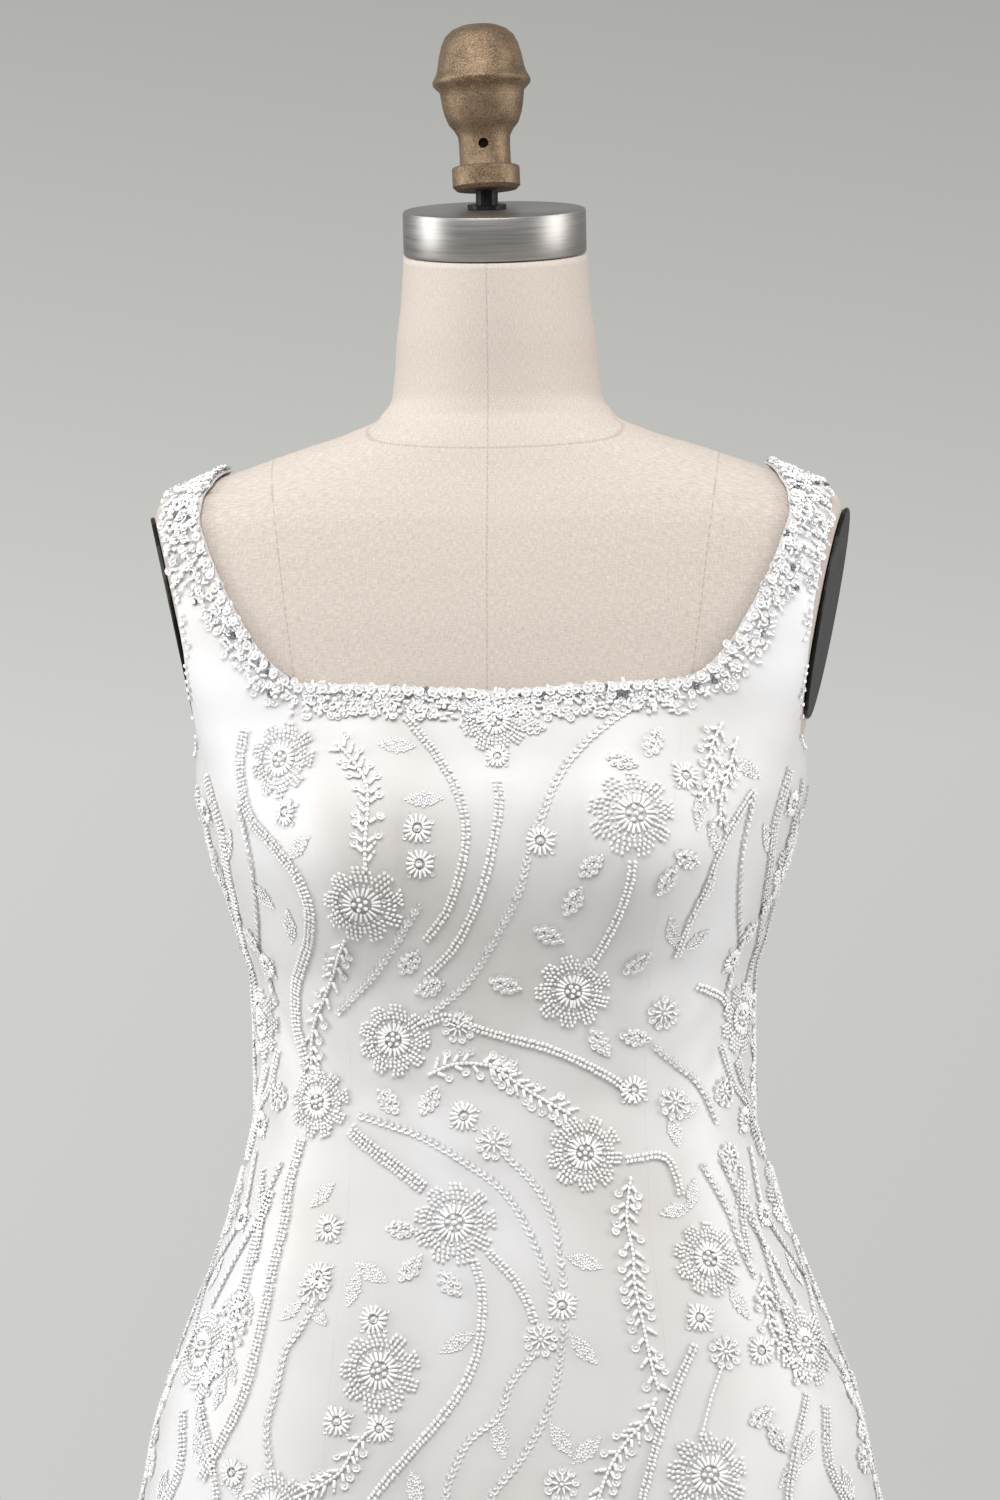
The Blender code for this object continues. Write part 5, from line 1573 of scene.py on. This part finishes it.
def beadTree(materials):
    tree = bpy.data.node_groups.new("sewnBeads", "GeometryNodeTree")
    face = tree.interface
    face.new_socket("Spots", in_out="INPUT", socket_type="NodeSocketGeometry")
    for kind in beadKinds:
        face.new_socket(kind, in_out="INPUT", socket_type="NodeSocketObject")
    sizeSocket = face.new_socket("Size", in_out="INPUT", socket_type="NodeSocketFloat")
    sizeSocket.default_value = beadLook["size"]
    face.new_socket("Beads", in_out="OUTPUT", socket_type="NodeSocketGeometry")
    start = addNode(tree, "NodeGroupInput")
    end = addNode(tree, "NodeGroupOutput")
    kindOf = addNode(tree, "GeometryNodeInputNamedAttribute", data_type="INT")
    kindOf.inputs["Name"].default_value = "kind"
    turn = addNode(tree, "GeometryNodeInputNamedAttribute", data_type="QUATERNION")
    turn.inputs["Name"].default_value = "turn"
    size = addNode(tree, "GeometryNodeInputNamedAttribute", data_type="FLOAT_VECTOR")
    size.inputs["Name"].default_value = "size"
    scaled = addNode(tree, "ShaderNodeVectorMath", operation="SCALE")
    link(tree, size.outputs["Attribute"], scaled.inputs[0])
    link(tree, start.outputs["Size"], scaled.inputs["Scale"])
    join = addNode(tree, "GeometryNodeJoinGeometry")
    for number, kind in enumerate(beadKinds):
        chosen = addNode(tree, "FunctionNodeCompare", data_type="INT", operation="EQUAL")
        link(tree, kindOf.outputs["Attribute"], chosen.inputs[2])
        chosen.inputs[3].default_value = number
        info = addNode(tree, "GeometryNodeObjectInfo")
        link(tree, start.outputs[kind], info.inputs["Object"])
        place = addNode(tree, "GeometryNodeInstanceOnPoints")
        link(tree, start.outputs["Spots"], place.inputs["Points"])
        link(tree, chosen.outputs["Result"], place.inputs["Selection"])
        link(tree, info.outputs["Geometry"], place.inputs["Instance"])
        link(tree, turn.outputs["Attribute"], place.inputs["Rotation"])
        link(tree, scaled.outputs["Vector"], place.inputs["Scale"])
        real = addNode(tree, "GeometryNodeRealizeInstances")
        link(tree, place.outputs["Instances"], real.inputs["Geometry"])
        finish = addNode(tree, "GeometryNodeSetMaterial")
        finish.inputs["Material"].default_value = materials[kind]
        link(tree, real.outputs["Geometry"], finish.inputs["Geometry"])
        link(tree, finish.outputs["Geometry"], join.inputs["Geometry"])
    link(tree, join.outputs["Geometry"], end.inputs["Beads"])
    return tree


def makeBeadPiece(name, rows, tree, prototypes):
    points, normals = clothPoints(rows[:, 1:4], beadLook["lift"])
    kinds = rows[:, 0].astype(int)
    seed, bugle, pearl = (beadLook[name] for name in ("seedRadius", "bugleRadius", "pearlRadius"))
    flat = beadLook["flatRise"]
    rise = np.array([seed, bugle, flat, flat, pearl, 0.0])
    points = points + normals * (rise[kinds] * rows[:, 8] * 0.9 + rows[:, 10])[:, None]
    mesh = bpy.data.meshes.new(name + "_spots")
    mesh.from_pydata(points.tolist(), [], [])
    mesh.attributes.new("kind", "INT", "POINT").data.foreach_set("value", kinds)
    sizes = mesh.attributes.new("size", "FLOAT_VECTOR", "POINT")
    sizes.data.foreach_set("vector", rows[:, 7:10].ravel())
    turns = mesh.attributes.new("turn", "QUATERNION", "POINT")
    turns.data.foreach_set("value", turnedFrames(rows[:, 4:7], normals, rows[:, 11]).ravel())
    holder = addObject(name, mesh)
    sewing = holder.modifiers.new("sewing", "NODES")
    sewing.node_group = tree
    for item in tree.interface.items_tree:
        if item.in_out == "INPUT" and item.name in prototypes:
            sewing[item.identifier] = prototypes[item.name]
    finished = applyModifier(holder, sewing)
    for attribute in ("kind", "size", "turn"):
        spot = finished.attributes.get(attribute)
        if spot is not None:
            finished.attributes.remove(spot)
    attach(holder, formBodyName)
    triangles = sum(len(face.vertices) - 2 for face in finished.polygons)
    print(name, len(rows), "beads", triangles, "triangles")
    return holder


def makeBeadwork():
    # Each bead: its bright colour, the painted shade colour where its glint is low, roughness, metallic and
    # coat.
    materials = {
        "seed": beadMaterial("seedGlass", (254, 254, 253), (230, 228, 226), 0.2, 0.0, 1.0),
        "bugle": beadMaterial("bugleGlass", (254, 254, 253), (226, 224, 221), 0.18, 0.0, 1.0),
        "sequin": beadMaterial("sequinFilm", (254, 254, 254), (212, 211, 210), 0.18, 0.0, 0.9),
        "silverSequin": beadMaterial("silverFilm", (248, 248, 250), (172, 172, 176), 0.14, 0.3, 0.6),
        "pearl": beadMaterial("pearlSkin", (254, 253, 252), (238, 236, 234), 0.2, 0.0, 0.9),
        "stone": beadMaterial("cutCrystal", (206, 206, 212), (70, 70, 74), 0.05, 0.9, 0.6),
    }
    prototypes = makePrototypes()
    sewCurves(allCurves())
    sewMotifs(allMotifs())
    for side in (-1, 1):
        for facing in (-1, 1):
            sewNeckBand(facing, side)
            sewStrapTops(facing, side)
            sewArmholeEdge(facing, side)
    rows = np.array(sewn)
    tree = beadTree(materials)
    angle = np.degrees(np.arctan2(rows[:, 1], -rows[:, 2]))
    high = rows[:, 3] > beadLook["neckFrom"]
    regions = {
        "neck_beads_front": high & (np.abs(angle) < 90),
        "neck_beads_back_left": high & (angle <= -90),
        "neck_beads_back_right": high & (angle >= 90),
        "front_beads_middle": ~high & (np.abs(angle) < 45),
        "front_beads_left": ~high & (angle <= -45) & (angle > -95),
        "front_beads_right": ~high & (angle >= 45) & (angle < 95),
        "back_beads_left": ~high & (angle <= -95),
        "back_beads_right": ~high & (angle >= 95),
    }
    trims = {
        "neck_beads_front": "neckline_trim_front",
        "neck_beads_back_left": "neckline_trim_back_left",
        "neck_beads_back_right": "neckline_trim_back_right",
    }
    for name, chosen in regions.items():
        piece = makeBeadPiece(name, rows[chosen], tree, prototypes)
        if name in trims:
            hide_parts(trims[name])
    for thing in prototypes.values():
        bpy.data.objects.remove(thing, do_unlink=True)


# Metal fittings

finialLook = {
    "sides": 72,
    # A lit and a shaded bronze colour: painted highlight and shade as well as the cast's own tone.
    "light": (146, 126, 102),
    "dark": (84, 67, 49),
    "roughness": 0.5,
    "place": (-0.004, 0.0, 1.4804),
    "lean": -2.1,
    "holeRadius": 0.00275,
    "holePlace": (0.0, -0.0238, 0.0238),
    "drillReach": 0.02,
}
capLook = {
    "sides": 128,
    "radius": 0.0495,
    "thickness": 0.024,
    "rounding": 0.0016,
    "height": 1.458,
    "strokes": (24.0, 24.0, 1500.0),
    "dark": (146, 143, 140),
    "light": (168, 165, 162),
}

# Turned outline of the finial, from its foot up: radius and height
finialOutline = (
    (0.0163, 0.0000),
    (0.0183, 0.0020),
    (0.0183, 0.0118),
    (0.0176, 0.0125),
    (0.0142, 0.0130),
    (0.0138, 0.0150),
    (0.0138, 0.0240),
    (0.0141, 0.0290),
    (0.0160, 0.0325),
    (0.0188, 0.0358),
    (0.0208, 0.0410),
    (0.0219, 0.0460),
    (0.0229, 0.0535),
    (0.0250, 0.0556),
    (0.0264, 0.0572),
    (0.0266, 0.0590),
    (0.0258, 0.0606),
    (0.0245, 0.0630),
    (0.0235, 0.0665),
    (0.0224, 0.0725),
    (0.0208, 0.0785),
    (0.0186, 0.0832),
    (0.0150, 0.0864),
    (0.0100, 0.0886),
    (0.0050, 0.0894),
)


def turnedMesh(name, outline, sides, matrix):
    # A closed round solid from its outline, foot to top, with its place in its mesh.
    angles = np.linspace(0.0, math.tau, sides, endpoint=False)
    rows = []
    for radius, height in outline:
        rows.append([(radius * math.cos(angle), radius * math.sin(angle), height) for angle in angles])
    points = [point for row in rows for point in row]
    faces = gridFaces(len(rows), sides, closed=True).tolist()
    foot, top = len(points), len(points) + 1
    points += [(0.0, 0.0, outline[0][1]), (0.0, 0.0, outline[-1][1] + 0.0001)]
    last = (len(rows) - 1) * sides
    for side in range(sides):
        following = (side + 1) % sides
        faces.append([foot, following, side])
        faces.append([top, last + side, last + following])
    mesh = makeMesh(name, points, faces)
    mesh.transform(matrix)
    return mesh


def bronzeMaterial():
    # Cast bronze: rough grain, mixed at random between a dark and a light bronze: partly the cast's own
    # uneven tone, partly painted highlight and shade.
    material, tree, shader = newMaterial("castBronze")
    place = addNode(tree, "ShaderNodeTexCoord").outputs["Object"]
    grain = noiseNode(tree, place, 1500.0, 2.0, 0.6)
    patches = noiseNode(tree, place, 110.0, 2.0, 0.5)
    both = mathNode(tree, "ADD", grain, mathNode(tree, "MULTIPLY", patches, 0.35))
    amount = rampValue(tree, both, 0.5, 0.85)
    colour = mixColours(tree, amount, rgb(*finialLook["dark"]), rgb(*finialLook["light"]))
    link(tree, colour, shader.inputs["Base Color"])
    link(tree, bumpNode(tree, grain, 0.6, 0.0004), shader.inputs["Normal"])
    shader.inputs["Roughness"].default_value = finialLook["roughness"]
    shader.inputs["Metallic"].default_value = 0.75
    return material


def makeFinial():
    smoothed = []
    for (radius, height), (nextRadius, nextHeight) in zip(finialOutline, finialOutline[1:]):
        smoothed += [(radius, height), ((radius + nextRadius) / 2.0, (height + nextHeight) / 2.0)]
    lean = Matrix.Rotation(math.radians(finialLook["lean"]), 4, "Y")
    matrix = Matrix.Translation(finialLook["place"]) @ lean
    mesh = turnedMesh("finial_cast", smoothed + [finialOutline[-1]], finialLook["sides"], matrix)
    finial = makeObject("finial_cast", mesh, bronzeMaterial())
    reach = finialLook["drillReach"]
    drill = [(finialLook["holeRadius"], -reach), (finialLook["holeRadius"], reach)]
    across = Matrix.Translation(finialLook["holePlace"]) @ Matrix.Rotation(math.radians(90), 4, "X")
    cutter = addObject("pinDrill", turnedMesh("pinDrill", drill, 20, matrix @ across))
    cut = finial.modifiers.new("pin hole", "BOOLEAN")
    cut.operation = "DIFFERENCE"
    cut.solver = "EXACT"
    cut.object = cutter
    applyModifier(finial, cut).set_sharp_from_angle(angle=math.radians(38))
    bpy.data.objects.remove(cutter, do_unlink=True)
    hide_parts("finial")


def makeCap():
    radius, half, rounding = capLook["radius"], capLook["thickness"] / 2.0, capLook["rounding"]
    low = [
        (radius - rounding, -half),
        (radius - rounding * 0.3, rounding * 0.3 - half),
        (radius, rounding - half),
    ]
    high = [
        (radius, half - rounding),
        (radius - rounding * 0.3, half - rounding * 0.3),
        (radius - rounding, half),
    ]
    outline = low + high
    outline += [(radius * 0.6, half), (radius * 0.2, half)]
    matrix = Matrix.Translation((0.0, 0.0, capLook["height"])) @ Matrix.Rotation(shape["neckTilt"], 4, "X")
    mesh = turnedMesh("neck_cap_turned", outline, capLook["sides"], matrix)
    material, tree, shader = newMaterial("brushedAluminium")
    place = addNode(tree, "ShaderNodeTexCoord").outputs["Object"]
    level = addNode(tree, "ShaderNodeMapping")
    link(tree, place, level.inputs["Vector"])
    level.inputs["Rotation"].default_value = (-shape["neckTilt"], 0.0, 0.0)
    lines = noiseNode(tree, stretched(tree, level.outputs["Vector"], capLook["strokes"]), 1.0, 3.0)
    base = mixColours(tree, rampValue(tree, lines, 0.3, 0.7), rgb(*capLook["dark"]), rgb(*capLook["light"]))
    link(tree, base, shader.inputs["Base Color"])
    link(tree, rampValue(tree, lines, 0.2, 0.8, 0.36, 0.46), shader.inputs["Roughness"])
    link(tree, bumpNode(tree, lines, 0.05, 0.0001), shader.inputs["Normal"])
    shader.inputs["Metallic"].default_value = 1.0
    cap = makeObject("neck_cap_turned", mesh, material)
    mesh.set_sharp_from_angle(angle=math.radians(30))
    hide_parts("neck_cap")


# Floor, sky, lights and camera

stageLook = {
    "floorSides": 96,
    "floorRadius": 4.2,
    "floor": (214, 213, 210),
    # Backdrop greys from low to high, darker overhead: painted light falloff.
    "low": (199, 199, 197),
    "middle": (202, 203, 199),
    "high": (169, 169, 165),
    "paintedSideLight": (1.07, 0.95),
    "fill": (0.22, 0.50),
}


def makeStage():
    count = stageLook["floorSides"]
    radius = stageLook["floorRadius"]
    angles = np.linspace(0.0, math.tau, count, endpoint=False)
    points = [(radius * math.sin(angle), radius * math.cos(angle), 0.0) for angle in angles]
    mesh = makeMesh("studio_floor", points, [list(reversed(range(count)))])
    floor = addObject("studio_floor", mesh)
    floor.data.materials.append(plainMaterial("floorPaint", stageLook["floor"], 0.7, 0.0, (3.0, 0.01)))


def makeWorld():
    # Soft grey all round; the camera sees the backdrop with painted light, a little darker overhead and
    # lighter to the left.
    world = bpy.data.worlds.new("softGrey")
    bpy.context.scene.world = world
    world.use_nodes = True
    tree = world.node_tree
    way = addNode(tree, "ShaderNodeTexCoord").outputs["Generated"]
    parts = addNode(tree, "ShaderNodeSeparateXYZ")
    link(tree, way, parts.inputs[0])
    ramp = addNode(tree, "ShaderNodeValToRGB")
    link(tree, rampValue(tree, parts.outputs["Z"], -0.2, 0.2), ramp.inputs["Fac"])
    ramp.color_ramp.elements[0].position = 0.10
    ramp.color_ramp.elements[0].color = rgb(*stageLook["low"])
    ramp.color_ramp.elements[1].position = 0.92
    ramp.color_ramp.elements[1].color = rgb(*stageLook["high"])
    middle = ramp.color_ramp.elements.new(0.50)
    middle.color = rgb(*stageLook["middle"])
    # Painted light: the backdrop lighter to the left and darker to the right.
    paintedSideTint = rampValue(tree, parts.outputs["X"], -0.15, 0.15, *stageLook["paintedSideLight"])
    scaled = addNode(tree, "ShaderNodeMix", data_type="RGBA", blend_type="MULTIPLY")
    scaled.inputs["Factor"].default_value = 1.0
    link(tree, ramp.outputs["Color"], scaled.inputs[6])
    link(tree, paintedSideTint, scaled.inputs[7])
    background = tree.nodes["Background"]
    link(tree, scaled.outputs[2], background.inputs["Color"])
    background.inputs["Strength"].default_value = 1.0
    # What the cloth sees is dimmer, so that the lamps model it.
    fill = addNode(tree, "ShaderNodeBackground")
    link(tree, rampValue(tree, parts.outputs["Z"], -0.6, 0.9, *stageLook["fill"]), fill.inputs["Color"])
    choice = addNode(tree, "ShaderNodeMixShader")
    link(tree, addNode(tree, "ShaderNodeLightPath").outputs["Is Camera Ray"], choice.inputs["Fac"])
    link(tree, fill.outputs[0], choice.inputs[1])
    link(tree, background.outputs[0], choice.inputs[2])
    link(tree, choice.outputs[0], tree.nodes["World Output"].inputs["Surface"])


Lamp = namedtuple("Lamp", "name place target width height power colour")

lamps = (
    Lamp("overhead", (-0.2, -1.35, 2.7), (0.0, 0.0, 1.25), 2.0, 1.2, 44.0, (1.0, 0.99, 0.99)),
    Lamp("left_box", (-2.2, -0.2, 1.7), (0.0, 0.0, 1.15), 1.1, 1.8, 34.0, (0.98, 0.99, 1.0)),
    Lamp("right_box", (2.3, -0.3, 1.7), (0.0, 0.0, 1.15), 1.1, 1.8, 32.0, (1.0, 0.99, 0.98)),
)


def makeLights():
    for lamp in lamps:
        data = bpy.data.lights.new(lamp.name, "AREA")
        data.shape = "RECTANGLE"
        data.size = lamp.width
        data.size_y = lamp.height
        data.energy = lamp.power
        data.color = lamp.colour
        light = addObject(lamp.name, data)
        light.location = lamp.place
        aim = Vector(lamp.target) - Vector(lamp.place)
        light.rotation_euler = aim.to_track_quat("-Z", "Y").to_euler()
        light.visible_camera = False


cameraPlace = {
    "distance": 2.6,
    "azimuth": 2.6,
    "height": 1.178,
    "roll": 0.7,
    "lens": 115.6,
    "shift": -1.0 / 1500.0,
}


def makeCamera():
    azimuth = math.radians(cameraPlace["azimuth"])
    data = bpy.data.cameras.new("photo_camera")
    data.lens = cameraPlace["lens"]
    data.sensor_width = 36.0
    data.shift_x = cameraPlace["shift"]
    camera = addObject("photo_camera", data)
    distance = cameraPlace["distance"]
    place = Vector((distance * math.sin(azimuth), -distance * math.cos(azimuth), cameraPlace["height"]))
    level = Vector((-place.x, -place.y, 0.0)).to_track_quat("-Z", "Y").to_matrix().to_4x4()
    roll = Matrix.Rotation(math.radians(-cameraPlace["roll"]), 4, "Z")
    camera.matrix_world = Matrix.Translation(place) @ level @ roll
    bpy.context.scene.camera = camera


def paint(nodeName, material):
    thing = nodes[nodeName]
    for spot in thing.material_slots:
        spot.material = material


print("form")
makeForm()
print("dress")
makeDress(satinMaterial())
print("beadwork")
makeBeadwork()
print("fittings")
makeCap()
makeFinial()
paint("finial_stub", plainMaterial("blackMetal", (28, 28, 28), 0.4, 0.8))
plateSteel = brushedMaterial("darkSteel", (46, 47, 44), 0.36, (500.0, 500.0, 30.0))
paint("arm_plate_left", plateSteel)
paint("arm_plate_right", plateSteel)
standPaint = plainMaterial("standPaint", (46, 46, 46), 0.5)
for nodeName in ("form_socket", "pole", "base"):
    paint(nodeName, standPaint)
zipMetal = plainMaterial("zipMetal", (226, 226, 224), 0.3, 1.0)
paint("zip_slider", zipMetal)
paint("zip_pull", zipMetal)
paint("zip_chain", plainMaterial("zipTape", (235, 234, 230), 0.7))

print("stage")
makeStage()
makeWorld()
makeLights()
makeCamera()
bpy.context.scene.view_settings.view_transform = "Standard"
